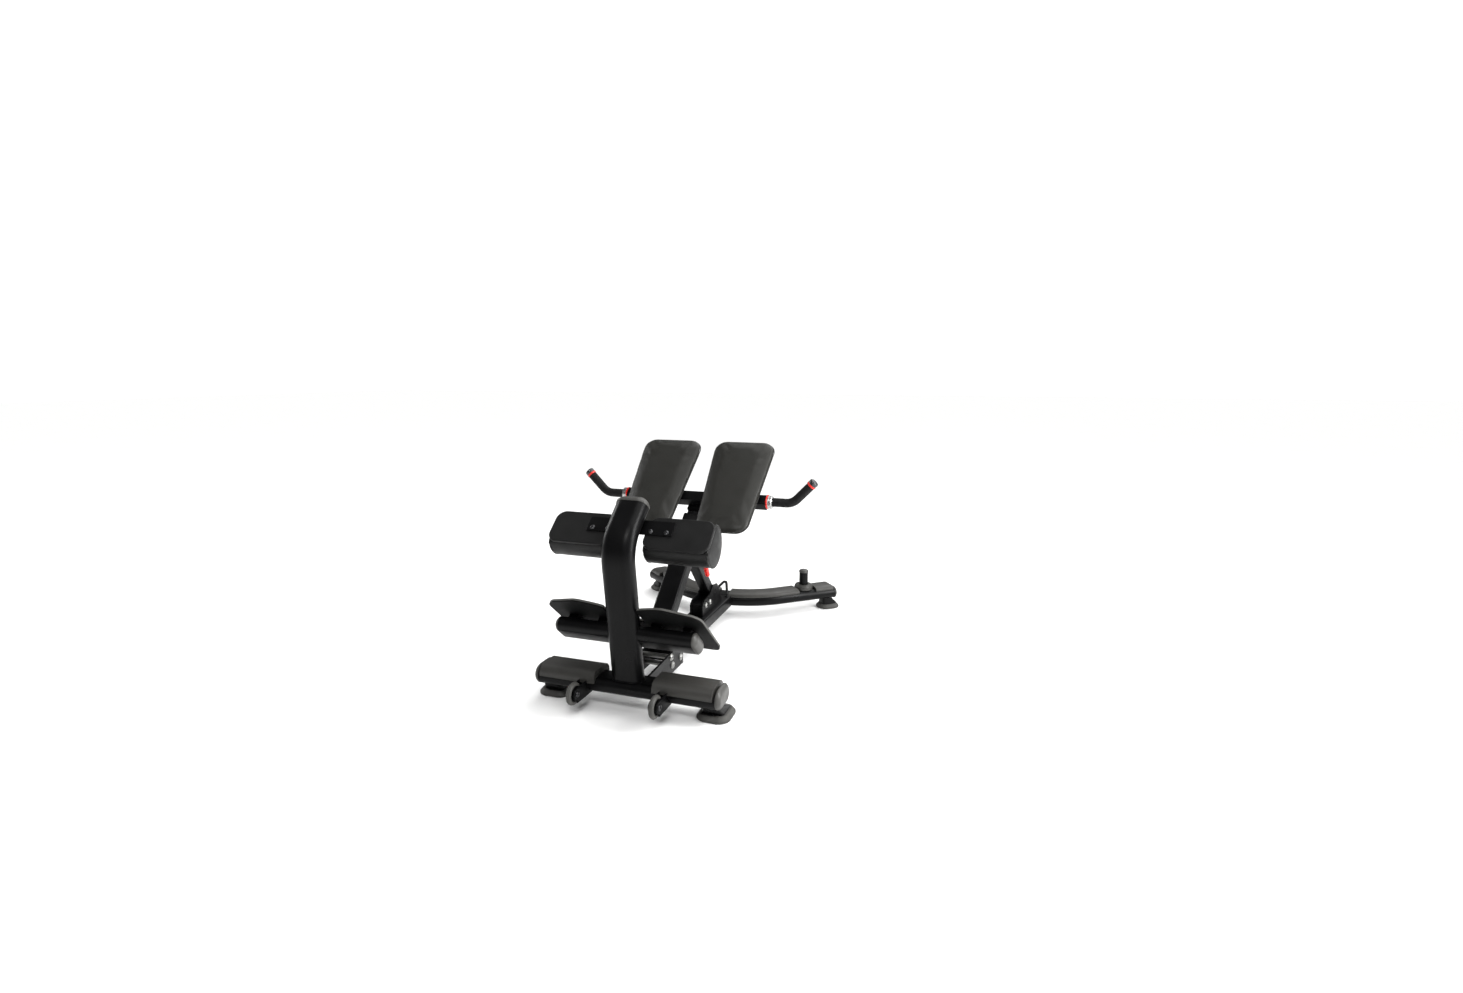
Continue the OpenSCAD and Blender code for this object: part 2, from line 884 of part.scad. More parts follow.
module lock_pin() {
    color("silver")
        at_lock() {
            translate([0, 0, -lock_nose]) cylinder(d = lock_d, h = lock_nose + lock_cross + 5);
            translate([0, 0, 3]) cylinder(d = 16, h = 4);
            translate([0, 0, lock_cross]) rotate([0, 90, 0]) cylinder(d = 6, h = lever_x + 8);
        }
}

// Points of a helix for the coil spring.
function coil_ring(a, r, wire, pitch, sides) = [
    for (i = [0 : sides - 1])
        let (b = 360 * i / sides, q = r + wire * cos(b))
            [q * cos(a), q * sin(a), pitch * a / 360 + wire * sin(b)]
];

module coil(r, wire, pitch, turns) {
    sides = 8;
    steps = turns * 14;
    pts = [for (k = [0 : steps]) each coil_ring(360 * turns * k / steps, r, wire, pitch, sides)];
    skin = [
        for (k = [0 : steps - 1], i = [0 : sides - 1])
            let (j = (i + 1) % sides)
                [k * sides + i, k * sides + j, (k + 1) * sides + j, (k + 1) * sides + i]
    ];
    ends = [
        [for (i = [sides - 1 : -1 : 0]) i],
        [for (i = [0 : sides - 1]) steps * sides + i],
    ];
    polyhedron(points = pts, faces = concat(skin, ends));
}

module lock_spring() {
    color("silver")
        at_lock() translate([0, 0, 8]) coil(7.2, 0.8, 22 / 5, 5);
}

module at_lever() {
    on_post() translate([lever_x, lever_t, lever_n]) children();
}

module lock_lever() {
    arm = 92;
    crank = lock_t - lever_t;
    color("#202020")
        at_lever()
            along_x(0, lever_thick)
                difference() {
                    union() {
                        circle(d = 22);
                        rotate(-lever_hang) translate([-8, -arm]) square([16, arm]);
                        translate([0, -8]) square([crank + 12, 16]);
                    }
                    circle(d = 8.1);
                    translate([crank - 5, -3.5]) square([10, 7]);
                }
}

module lever_grip() {
    top = 48;
    color(accent_red)
        at_lever()
            rotate([-lever_hang, 0, 0])
                translate([lever_thick / 2, 0, -top - 62])
                    difference() {
                        cylinder(d = 20, h = 62);
                        translate([-lever_thick / 2 - 0.1, -8.1, 17.9])
                            cube([lever_thick + 0.2, 16.2, 60]);
                    }
}

module lever_pivot() {
    reach = lever_x - strut_w / 2;
    color("silver")
        at_lever()
            rotate([0, 90, 0]) {
                translate([0, 0, -reach]) cylinder(d = 20, h = reach - gap);
                translate([0, 0, -reach]) cylinder(d = 8, h = reach + lever_thick + 3);
                translate([0, 0, lever_thick + gap]) cylinder(d = 15, h = 4);
            }
}

// ---- front crossbar -------------------------------------------------------
module front_crossbar() {
    color(frame_black)
        translate([0, 0, tube_z]) {
            front_legs(0, front_leg) bent_tube2d();
            front_bend(2 * front_sweep) bent_tube2d();
        }
}

module front_cover() {
    z = tube_z + tube_h / 2;
    color(rubber_grey)
        translate([0, 0, z])
            difference() {
                union() {
                    front_legs(0, front_leg - 10) strip_on_tube();
                    front_bend(2 * front_sweep) strip_on_tube();
                }
                translate([-30, front_y - 100, -40]) cube([60, 200, 80]);
                both() translate([peg_x, peg_y, -40]) cylinder(d = 84.4, h = 80);
            }
}

// Section of the front cover: a crowned strip that wraps the top of the tube.
module strip_on_tube() {
    difference() {
        polygon([
            [-46, -8], [-48, -2], [-44, 5], [-34, 9.5], [-20, 11.5],
            [20, 11.5], [34, 9.5], [44, 5], [48, -2], [46, -8],
        ]);
        translate([0, -tube_h / 2]) bent2d(tube_w + 2 * gap, tube_h + 2 * gap);
    }
}

module front_end_caps() {
    color(rubber_grey)
        both()
            translate([front_bend_r * sin(front_sweep),
                       front_y + front_bend_r * (1 - cos(front_sweep)), tube_z])
                rotate(front_sweep) {
                    hull() {
                        translate([front_leg, 0, 0]) rotate([90, 0, 90])
                            linear_extrude(5) oval2d(tube_w + 3, tube_h + 3, $fn = 32);
                        translate([front_leg + 12, 0, 0]) rotate([90, 0, 90])
                            linear_extrude(1) oval2d(tube_w - 22, tube_h - 22, $fn = 32);
                    }
                    translate([front_leg - 20, 0, 0]) rotate([90, 0, 90])
                        linear_extrude(20) oval2d(tube_w - 2 * wall - 1, tube_h - 2 * wall - 1);
                }
}

// ---- band pegs and lift loop ----------------------------------------------
module at_peg() {
    both() translate([peg_x, peg_y, tube_z + tube_h / 2 + 0.1]) children();
}

module peg_flanges() {
    color(rubber_grey)
        at_peg()
            rotate_extrude()
                polygon([[20.2, 0], [42, 0], [42, 14], [37, 23], [20.2, 23]]);
}

module band_pegs() {
    color(frame_black)
        at_peg() cylinder(d = 40, h = 78);
}

module peg_caps() {
    color(rubber_grey)
        at_peg()
            translate([0, 0, 78])
                rotate_extrude()
                    polygon([[0, 0], [21.5, 0], [21.5, 7], [17, 13], [0, 14]]);
}

// A round bar between two points, with ball ends.
module rod(a, b, d) {
    v = b - a;
    len = norm(v);
    translate(a) rotate([0, acos(v[2] / len), atan2(v[1], v[0])]) cylinder(d = d, h = len);
    for (p = [a, b]) translate(p) sphere(d = d + 1);
}

module lift_loop() {
    top = spine_z + tube_h / 2;
    low = [36, front_y - 62, top + 7];
    high = [7, front_y + 12, top + 42];
    color(frame_black) {
        both() rod(low, high, 12);
        rod([-high[0], high[1], high[2]], high, 12);
        both() translate([low[0], low[1], top]) cylinder(d = 22, h = 5);
    }
}

rear_crossbar();
rear_cover(-1);  // rear_cover_left
rear_cover(1);  // rear_cover_right
rear_end_caps();
rubber_feet();
foot_brackets();
upright();
upright_cap();
wheel_forks();
wheel_axles();
wheel_hub(-1);  // hub_left
tyre(-1);  // tyre_left
wheel_hub(1);  // hub_right
tyre(1);  // tyre_right
foot_plate();
foot_tread();
foot_bar();
foot_bar_caps();
ankle_bracket();
ankle_boards();
ankle_pad(-1);  // ankle_pad_left
ankle_pad(1);  // ankle_pad_right
rear_bracket();
bracket_spacers();
frame_bolts_m12();
frame_bolts_m8();
spine();
seat_post();
post_plug();
post_gussets();
post_collar();
seat_strut();
strut_bracket();
slide_post();
slide_glide();
pad_beam();
pad_boards();
thigh_pad(-1);  // thigh_pad_left
thigh_pad(1);  // thigh_pad_right
pad_bolts();
handle_tubes();
handle_grips();
handle_collars();
handle_rings();
handle_caps();
lock_housing();
lock_pin();
lock_spring();
lock_lever();
lever_grip();
lever_pivot();
front_crossbar();
front_cover();
front_end_caps();
band_pegs();
peg_flanges();
peg_caps();
lift_loop();
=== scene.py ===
"""Looks of the roman chair, on the shared frame. The builders work in millimetres."""
from math import cos, pi, radians, sin

import bmesh
import bpy
from mathutils import Matrix, Vector


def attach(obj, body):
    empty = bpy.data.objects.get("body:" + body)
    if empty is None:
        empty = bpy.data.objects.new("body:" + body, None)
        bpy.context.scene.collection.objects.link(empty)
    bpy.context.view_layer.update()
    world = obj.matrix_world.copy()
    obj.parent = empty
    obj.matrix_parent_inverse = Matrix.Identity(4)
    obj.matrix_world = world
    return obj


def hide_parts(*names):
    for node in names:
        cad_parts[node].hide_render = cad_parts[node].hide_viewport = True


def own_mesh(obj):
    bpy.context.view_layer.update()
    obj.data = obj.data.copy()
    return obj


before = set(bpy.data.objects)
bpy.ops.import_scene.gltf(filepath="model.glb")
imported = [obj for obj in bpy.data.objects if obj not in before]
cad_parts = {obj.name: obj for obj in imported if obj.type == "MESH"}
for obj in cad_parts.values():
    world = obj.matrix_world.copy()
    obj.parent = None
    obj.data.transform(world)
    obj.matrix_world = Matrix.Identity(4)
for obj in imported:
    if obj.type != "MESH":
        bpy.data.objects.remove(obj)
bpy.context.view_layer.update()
scene = bpy.context.scene

MM = 0.001

# ---- places shared with the CAD model --------------------------------------
LEAN = 42
UPRIGHT_LEAN = 6.8
REAR_Y = -549.4
FRONT_Y = 399.6
FRONT_R = 358
SWEEP = 40
FRONT_LEG = 272
TUBE_Z = 77
PEG_X = 330
PEG_FLANGE_R = 42.4
FRONT_FOOT_X = 428
WHEEL = (143, -663.4, 76)
REAR_HALF = 315
BEND = (-610.4, 562)
BEND_R = 130
UPPER_END = 153
PAD_MID = 658
BEAM = (617, 55)
BEAM_HALF = 292


def tilted(y, z, degrees):
    """A frame of the middle plane, turned about X."""
    return Matrix.Translation((0, y, z)) @ Matrix.Rotation(radians(degrees), 4, "X")


POST = tilted(-359.4, 140, LEAN)
PLATE = tilted(-593.4, 358, -LEAN)
ANKLE = tilted(-490.4, 553, LEAN)
UPPER = tilted(*BEND, LEAN)
WORLD = Matrix.Identity(4)
# Sections are drawn in X and Y and run along Z: these turn that run to world X or Y.
ALONG_X = Matrix(((0, 0, 1, 0), (1, 0, 0, 0), (0, 1, 0, 0), (0, 0, 0, 1)))
ALONG_Y = Matrix.Rotation(radians(-90), 4, "X")
MIRROR = Matrix.Scale(-1, 4, (1, 0, 0))


def shift(x, y, z):
    return Matrix.Translation((x, y, z))


def sweep_y(x):
    """Y of the front crossbar's centre line at x, on its straight leg."""
    bend_end = FRONT_R * sin(radians(SWEEP))
    start = FRONT_Y + FRONT_R * (1 - cos(radians(SWEEP)))
    return start + (x - bend_end) * sin(radians(SWEEP)) / cos(radians(SWEEP))


# ---- materials -------------------------------------------------------------
class Shader:
    """A Principled material with its node tree at hand."""

    def __init__(self, name, color, rough, metal=0.0, specular=0.5):
        self.material = bpy.data.materials.new(name)
        self.material.use_nodes = True
        self.nodes = self.material.node_tree.nodes
        self.links = self.material.node_tree.links
        self.bsdf = self.nodes["Principled BSDF"]
        self.bsdf.inputs["Base Color"].default_value = (*color, 1)
        self.bsdf.inputs["Roughness"].default_value = rough
        self.bsdf.inputs["Metallic"].default_value = metal
        self.bsdf.inputs["Specular IOR Level"].default_value = specular
        self.coords = self.nodes.new("ShaderNodeTexCoord").outputs["Object"]
        self.height = None
        self.edge = None

    def noise(self, scale, detail=3.0, stretch=(1, 1, 1)):
        mapping = self.nodes.new("ShaderNodeMapping")
        mapping.inputs["Scale"].default_value = stretch
        self.links.new(self.coords, mapping.inputs["Vector"])
        node = self.nodes.new("ShaderNodeTexNoise")
        node.inputs["Scale"].default_value = scale
        node.inputs["Detail"].default_value = detail
        self.links.new(mapping.outputs["Vector"], node.inputs["Vector"])
        return node.outputs["Fac"]

    def cells(self, scale):
        node = self.nodes.new("ShaderNodeTexVoronoi")
        node.feature = "DISTANCE_TO_EDGE"
        node.inputs["Scale"].default_value = scale
        self.links.new(self.coords, node.inputs["Vector"])
        return node.outputs["Distance"]

    def ramp(self, source, low, high, start=0.0, end=1.0):
        node = self.nodes.new("ShaderNodeMapRange")
        node.inputs["From Min"].default_value = start
        node.inputs["From Max"].default_value = end
        node.inputs["To Min"].default_value = low
        node.inputs["To Max"].default_value = high
        self.links.new(source, node.inputs["Value"])
        return node.outputs["Result"]

    def vary_rough(self, source, low, high):
        self.links.new(self.ramp(source, low, high, 0.3, 0.7), self.bsdf.inputs["Roughness"])

    def vary_color(self, source, first, second, start=0.3, end=0.7):
        mix = self.nodes.new("ShaderNodeMix")
        mix.data_type = "RGBA"
        mix.inputs[6].default_value = (*first, 1)
        mix.inputs[7].default_value = (*second, 1)
        self.links.new(self.ramp(source, 0, 1, start, end), mix.inputs[0])
        self.links.new(mix.outputs[2], self.bsdf.inputs["Base Color"])

    def soft_edges(self, radius):
        node = self.nodes.new("ShaderNodeBevel")
        node.samples = 4
        node.inputs["Radius"].default_value = radius
        self.links.new(node.outputs["Normal"], self.bsdf.inputs["Normal"])
        self.edge = node.outputs["Normal"]

    def bump(self, source, strength, distance):
        node = self.nodes.new("ShaderNodeBump")
        node.inputs["Strength"].default_value = strength
        node.inputs["Distance"].default_value = distance
        self.links.new(source, node.inputs["Height"])
        before = self.height or self.edge
        if before:
            self.links.new(before, node.inputs["Normal"])
        self.links.new(node.outputs["Normal"], self.bsdf.inputs["Normal"])
        self.height = node.outputs["Normal"]


def frame_paint(edges=0.0):
    """Satin black powder coat with a fine orange peel."""
    name = "frame paint edged" if edges else "frame paint"
    s = Shader(name, (0.0026, 0.0026, 0.0028), 0.34, specular=0.10)
    if edges:
        s.soft_edges(edges)
    s.vary_rough(s.noise(14, 4), 0.27, 0.40)
    s.bump(s.noise(620, 2), 0.16, 0.0004)
    return s.material


def matte_paint():
    """Flat black of the foot plate's underside."""
    s = Shader("matte paint", (0.0022, 0.0022, 0.0023), 0.62, specular=0.07)
    s.bump(s.noise(700, 2), 0.2, 0.0004)
    return s.material


def moulded_grey():
    """Satin moulded cover plastic, finely textured."""
    s = Shader("moulded grey", (0.034, 0.033, 0.031), 0.46, specular=0.26)
    s.vary_color(s.noise(9, 3), (0.031, 0.030, 0.028), (0.038, 0.037, 0.034))
    s.vary_rough(s.noise(30, 4), 0.40, 0.52)
    s.bump(s.cells(1500), 0.12, 0.0003)
    return s.material


def cap_grey():
    """The lighter grey of the end caps."""
    s = Shader("cap grey", (0.046, 0.045, 0.042), 0.40, specular=0.3)
    s.vary_rough(s.noise(40, 3), 0.36, 0.50)
    s.bump(s.noise(1300, 2), 0.10, 0.0003)
    return s.material


def foot_rubber():
    """Dark grey rubber of the feet, slightly dusty."""
    s = Shader("foot rubber", (0.042, 0.041, 0.038), 0.60, specular=0.3)
    s.vary_color(s.noise(22, 5), (0.036, 0.035, 0.033), (0.052, 0.051, 0.047))
    s.vary_rough(s.noise(55, 3), 0.52, 0.72)
    s.bump(s.noise(900, 3), 0.22, 0.0004)
    return s.material


def tread_rubber():
    """Ribbed rubber of the foot plate."""
    s = Shader("tread rubber", (0.060, 0.059, 0.054), 0.66, specular=0.35)
    s.vary_color(s.noise(30, 4), (0.052, 0.051, 0.047), (0.072, 0.071, 0.066))
    s.bump(s.noise(1100, 3), 0.25, 0.0004)
    return s.material


def tyre_rubber():
    """Light grey polyurethane tyre."""
    s = Shader("tyre rubber", (0.052, 0.051, 0.047), 0.55, specular=0.3)
    s.vary_color(s.noise(45, 4), (0.044, 0.043, 0.040), (0.060, 0.059, 0.055))
    s.bump(s.noise(1000, 2), 0.15, 0.0003)
    return s.material


def hub_plastic():
    """Black nylon of hubs, plugs and housings."""
    s = Shader("hub plastic", (0.006, 0.006, 0.0063), 0.42, specular=0.22)
    s.vary_rough(s.noise(60, 3), 0.36, 0.50)
    s.bump(s.noise(1200, 2), 0.12, 0.0003)
    return s.material


def pad_vinyl():
    """Charcoal upholstery vinyl: pebbled grain with fine creases."""
    s = Shader("pad vinyl", (0.0125, 0.0123, 0.0104), 0.42, specular=0.26)
    s.vary_color(s.noise(8, 4), (0.0112, 0.0110, 0.0092), (0.0140, 0.0137, 0.0116))
    s.vary_rough(s.noise(24, 4), 0.38, 0.50)
    s.bump(s.noise(150, 5), 0.10, 0.0012)
    s.bump(s.cells(520), 0.42, 0.0006)
    return s.material


def roll_vinyl():
    """The ankle pads' black cover, smoother than the thigh pads'."""
    s = Shader("roll vinyl", (0.0034, 0.0034, 0.0034), 0.44, specular=0.2)
    s.vary_rough(s.noise(26, 4), 0.40, 0.54)
    s.bump(s.noise(120, 4), 0.10, 0.0012)
    s.bump(s.cells(640), 0.34, 0.0005)
    return s.material


def piping_vinyl():
    """Piping along the seams."""
    s = Shader("piping vinyl", (0.008, 0.008, 0.0072), 0.36, specular=0.3)
    s.vary_rough(s.noise(60, 3), 0.32, 0.46)
    s.bump(s.noise(800, 3), 0.2, 0.0004)
    return s.material


def plywood():
    """Painted edge of the backing boards."""
    s = Shader("backing board", (0.020, 0.018, 0.015), 0.7, specular=0.3)
    s.vary_color(s.noise(40, 4, (1, 1, 6)), (0.014, 0.013, 0.011), (0.030, 0.026, 0.021))
    s.bump(s.noise(300, 4, (1, 1, 5)), 0.25, 0.0005)
    return s.material


def grip_foam():
    """Closed-cell foam of the handle grips."""
    s = Shader("grip foam", (0.0045, 0.0045, 0.0047), 0.66, specular=0.2)
    s.vary_rough(s.noise(80, 3), 0.60, 0.80)
    s.bump(s.cells(1500), 0.35, 0.0004)
    return s.material


def brushed_aluminium():
    """Turned aluminium with fine lathe lines."""
    s = Shader("turned aluminium", (0.42, 0.42, 0.415), 0.26, metal=1.0)
    s.vary_rough(s.noise(60, 3), 0.24, 0.38)
    s.bump(s.noise(900, 2, (6, 1, 1)), 0.10, 0.0002)
    s.bsdf.inputs["Anisotropic"].default_value = 0.35
    return s.material


def zinc_steel():
    """Bright zinc of bolts, nuts and spacers."""
    s = Shader("zinc steel", (0.28, 0.28, 0.275), 0.33, metal=1.0)
    s.soft_edges(0.0006)
    s.vary_color(s.noise(120, 4), (0.24, 0.24, 0.23), (0.32, 0.32, 0.31))
    s.vary_rough(s.noise(200, 3), 0.26, 0.42)
    return s.material


def black_zinc():
    """Dark plated slide tube and collar, polished by the sliding."""
    s = Shader("black zinc", (0.060, 0.060, 0.063), 0.26, metal=0.85)
    s.soft_edges(0.0008)
    s.vary_rough(s.noise(30, 4, (1, 0.2, 0.2)), 0.20, 0.34)
    s.bump(s.noise(500, 2, (1, 0.08, 0.08)), 0.05, 0.0003)
    return s.material


def white_nylon():
    """Glide of the sliding tube."""
    s = Shader("white nylon", (0.72, 0.71, 0.66), 0.42, specular=0.45)
    s.bsdf.inputs["Subsurface Weight"].default_value = 0.08
    s.vary_rough(s.noise(80, 3), 0.36, 0.50)
    return s.material


def red_plastic():
    """Glossy red of the rings and the lever's grip."""
    s = Shader("red plastic", (0.60, 0.012, 0.006), 0.28, specular=0.5)
    s.vary_color(s.noise(18, 3), (0.56, 0.010, 0.005), (0.64, 0.014, 0.008))
    s.vary_rough(s.noise(90, 3), 0.22, 0.36)
    return s.material


def pale_floor():
    """Nearly white studio floor."""
    s = Shader("pale floor", (0.93, 0.93, 0.925), 0.9, specular=0.0)
    s.vary_color(s.noise(3, 3), (0.925, 0.925, 0.92), (0.935, 0.935, 0.93))
    return s.material


PAINT = frame_paint()
PAINT_EDGED = frame_paint(0.0014)
MATTE = matte_paint()
MOULDED = moulded_grey()
CAP = cap_grey()
RUBBER = foot_rubber()
TREAD = tread_rubber()
TYRE = tyre_rubber()
BLACK = hub_plastic()
VINYL = pad_vinyl()
ROLL = roll_vinyl()
PIPING = piping_vinyl()
PLY = plywood()
FOAM = grip_foam()
ALUMINIUM = brushed_aluminium()
ZINC = zinc_steel()
DARK_ZINC = black_zinc()
NYLON = white_nylon()
RED = red_plastic()


# ---- mesh builders: each returns a list of (points, faces) ------------------
def oval(w, h, n=14):
    """Flat oval outline, long side along the first axis."""
    arc = [-pi / 2 + pi * k / n for k in range(n + 1)]
    right = [((w - h) / 2 + h / 2 * cos(a), h / 2 * sin(a)) for a in arc]
    return right + [(-x, -y) for x, y in right]


def round_rect(w, h, r, n=6):
    """Rectangle outline with round corners."""
    points = []
    for quarter, (sx, sy) in enumerate([(1, 1), (-1, 1), (-1, -1), (1, -1)]):
        for k in range(n + 1):
            a = pi / 2 * (quarter + k / n)
            points.append((sx * (w / 2 - r) + r * cos(a), sy * (h / 2 - r) + r * sin(a)))
    return points


def disc(d, n=40):
    return [(d / 2 * cos(2 * pi * k / n), d / 2 * sin(2 * pi * k / n)) for k in range(n)]


def ring(outline, place, z=0.0):
    return [place @ Vector((x, y, z)) for x, y in outline]


def loft(rings, ends=True, loop=False):
    """Skin rings of equal count; a loop joins the last to the first."""
    n = len(rings[0])
    points = [p for r in rings for p in r]
    count = len(rings) if loop else len(rings) - 1
    faces = []
    for k in range(count):
        a = k * n
        b = (k + 1) % len(rings) * n
        faces += [(a + i, a + (i + 1) % n, b + (i + 1) % n, b + i) for i in range(n)]
    if ends and not loop:
        faces.append(tuple(range(n)))
        faces.append(tuple(range(len(points) - n, len(points))))
    return [(points, faces)]


def bar(outline, place, z0, z1):
    return loft([ring(outline, place, z0), ring(outline, place, z1)])


def lathe(profile, place, n=48, loop=False):
    """Turn (radius, height) points about the frame's Z."""
    return loft([ring(disc(2 * max(r, 0.01), n), place, z) for r, z in profile], loop=loop)


def both(bits):
    """The bits and their mirror images across the middle plane."""
    return bits + [([MIRROR @ p for p in points], faces) for points, faces in bits]


def direction_frame(point, along):
    """A frame at a point, its Z along the given direction."""
    turn = Vector(along).normalized().to_track_quat("Z", "Y").to_matrix().to_4x4()
    return Matrix.Translation(point) @ turn


def rod(points, d, n=20):
    """A round rod along a list of points."""
    points = [Vector(p) for p in points]
    rings = []
    turn = None
    for k, p in enumerate(points):
        ahead = points[min(k + 1, len(points) - 1)] - points[max(k - 1, 0)]
        if turn is None:
            turn = ahead.to_track_quat("Z", "Y")
        else:
            turn = before.rotation_difference(ahead) @ turn
        before = ahead
        rings.append(ring(disc(d, n), Matrix.Translation(p) @ turn.to_matrix().to_4x4()))
    return loft(rings)


def rod_loop(points, d, n=10):
    """A round cord along a closed line."""
    rings = []
    for k, p in enumerate(points):
        ahead = points[(k + 1) % len(points)] - points[k - 1]
        rings.append(ring(disc(d, n), direction_frame(p, ahead)))
    return loft(rings, loop=True)


def bead(points, d):
    """A weld bead along a closed line, rippled like laid weld."""
    points = [Vector(p) for p in points]
    spots = []
    for k, p in enumerate(points):
        q = points[(k + 1) % len(points)]
        steps = max(1, round((q - p).length / 1.6))
        spots += [p.lerp(q, j / steps) for j in range(steps)]
    rings = []
    for k, p in enumerate(spots):
        ahead = spots[(k + 1) % len(spots)] - spots[k - 1]
        size = d * (1 + 0.14 * sin(2 * pi * k / 3))
        rings.append(ring(disc(size, 8), direction_frame(p, ahead)))
    return loft(rings, loop=True)


def button_bolt(place, d, height):
    """Button head with a hex socket and a washer, standing on the frame's XY plane."""
    r = 0.95 * d
    head = [(r * 1.12, 0), (r * 1.12, 0.12 * d), (r, 0.14 * d), (r * 0.98, 0.25 * d)]
    head += [(r * 0.84, height * 0.8), (r * 0.6, height), (r * 0.34, height)]
    head += [(r * 0.32, height * 0.45), (0, height * 0.45)]
    return lathe(head, place, 36)


def hex_nut(place, d, height):
    """Chamfered nut with the bolt's end standing a little out of it."""
    across = 1.75 * d
    low = ring(disc(across * 0.93, 6), place, 0)
    rim = ring(disc(across, 6), place, height * 0.14)
    top = ring(disc(across, 6), place, height * 0.86)
    high = ring(disc(across * 0.93, 6), place, height)
    return loft([low, rim, top, high]) + lathe([(0.42 * d, 0), (0.42 * d, height * 1.25)], place, 24)


def piece(name, bits, material, body="frame", hides=(), bevel=0.0, crease=38):
    """One object from bits, in place, riding on its body."""
    mesh = bpy.data.meshes.new(name)
    points = []
    faces = []
    for bit_points, bit_faces in bits:
        start = len(points)
        points += [p * MM for p in bit_points]
        faces += [tuple(i + start for i in face) for face in bit_faces]
    mesh.from_pydata(points, [], faces)
    work = bmesh.new()
    work.from_mesh(mesh)
    bmesh.ops.recalc_face_normals(work, faces=work.faces)
    work.to_mesh(mesh)
    work.free()
    mesh.polygons.foreach_set("use_smooth", [True] * len(mesh.polygons))
    mesh.set_sharp_from_angle(angle=radians(crease))
    obj = bpy.data.objects.new(name, mesh)
    scene.collection.objects.link(obj)
    mesh.materials.append(material)
    if bevel:
        mod = obj.modifiers.new("edges", "BEVEL")
        mod.width = bevel * MM
        mod.segments = 3
        mod.limit_method = "ANGLE"
        mod.angle_limit = radians(48)
        mod.harden_normals = True
    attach(obj, body)
    if hides:
        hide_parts(*hides)
    return obj


def recolour(node, material):
    """Give a CAD piece its finished material."""
    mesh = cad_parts[node].data
    mesh.materials.clear()
    mesh.materials.append(material)


# ---- camera, light and floor -------------------------------------------------
def add_camera():
    data = bpy.data.cameras.new("camera")
    data.sensor_width = 36
    data.lens = 36 * 700 / 1463
    camera = bpy.data.objects.new("camera", data)
    camera.location = (1.00135, -2.48797, 1.09499)
    camera.rotation_euler = (radians(90 - 10.23), 0, radians(18.495))
    scene.collection.objects.link(camera)
    scene.camera = camera


def add_light(name, place, target, size, power):
    data = bpy.data.lights.new(name, "AREA")
    data.shape = "RECTANGLE"
    data.size, data.size_y = size
    data.energy = power
    light = bpy.data.objects.new(name, data)
    light.location = place
    aim = Vector(target) - Vector(place)
    light.rotation_euler = aim.to_track_quat("-Z", "Y").to_euler()
    scene.collection.objects.link(light)


def add_lights():
    add_light("right strip", (2.7, -0.2, 1.35), (0.1, -0.1, 0.45), (0.6, 2.2), 110)
    add_light("rear top", (0.5, -2.6, 2.9), (0, -0.3, 0.2), (1.8, 0.7), 55)
    add_light("left", (-3.2, 0.4, 1.7), (0, 0, 0.4), (1.0, 2.0), 45)
    add_light("front", (0.6, 3.6, 2.2), (0, 0, 0.4), (2.4, 1.2), 14)
    sun = bpy.data.lights.new("sky", "SUN")
    sun.energy = 3.2
    sun.angle = radians(70)
    overhead = bpy.data.objects.new("sky", sun)
    overhead.rotation_euler = (radians(-24), radians(20), 0)
    scene.collection.objects.link(overhead)


def add_world():
    """White for the camera, dim for everything the object reflects."""
    world = bpy.data.worlds.new("studio")
    world.use_nodes = True
    back = world.node_tree.nodes["Background"]
    back.inputs["Color"].default_value = (1, 1, 1, 1)
    path = world.node_tree.nodes.new("ShaderNodeLightPath")
    level = world.node_tree.nodes.new("ShaderNodeMapRange")
    level.inputs["To Min"].default_value = 0.20
    level.inputs["To Max"].default_value = 1.05
    world.node_tree.links.new(path.outputs["Is Camera Ray"], level.inputs["Value"])
    world.node_tree.links.new(level.outputs["Result"], back.inputs["Strength"])
    scene.world = world


def add_floor():
    mesh = bpy.data.meshes.new("floor")
    reach = 30
    corners = [(-reach, -reach, 0), (reach, -reach, 0), (reach, reach, 0), (-reach, reach, 0)]
    mesh.from_pydata(corners, [], [(0, 1, 2, 3)])
    mesh.materials.append(pale_floor())
    floor = bpy.data.objects.new("floor", mesh)
    scene.collection.objects.link(floor)


# ---- rear base ----------------------------------------------------------------
REAR = shift(0, REAR_Y, TUBE_Z) @ ALONG_X


def rear_crossbar():
    bits = bar(oval(100, 50, 20), REAR, -REAR_HALF, REAR_HALF)
    piece("crossbar_rear", bits, PAINT, hides=["rear_crossbar"])


def cover_outline():
    """Section of a rear cover: a dome over the tube, with a lip along each lower edge."""
    outer = [radians(a) for a in range(-5, 91, 8)]
    right = [(55.6, 11), (56.2, 11)]
    right += [(25 + 30 * cos(a), 18 + 30 * sin(a)) for a in outer]
    inner = [radians(a) for a in range(90, 20, -8)]
    under = [(25 + 25.4 * cos(a), 25.4 * sin(a)) for a in inner]
    under.append((48.9, 11))
    left = [(-x, y) for x, y in reversed(right)]
    left_under = [(-x, y) for x, y in reversed(under)]
    return right + left + left_under + under


def rear_covers():
    outline = cover_outline()
    for side, word in ((-1, "left"), (1, "right")):
        x0, x1 = sorted((side * 103, side * 307))
        bits = bar(outline, REAR, x0, x1)
        piece("cover_" + word, bits, MOULDED, hides=["rear_cover_" + word], bevel=2.0)


def cap_shell(profile, w, h, place, n=18):
    """A convex cap: (height, how much its oval shrinks) pairs."""
    return loft([ring(oval(w + d, max(h + d, 2), n), place, z) for z, d in profile])


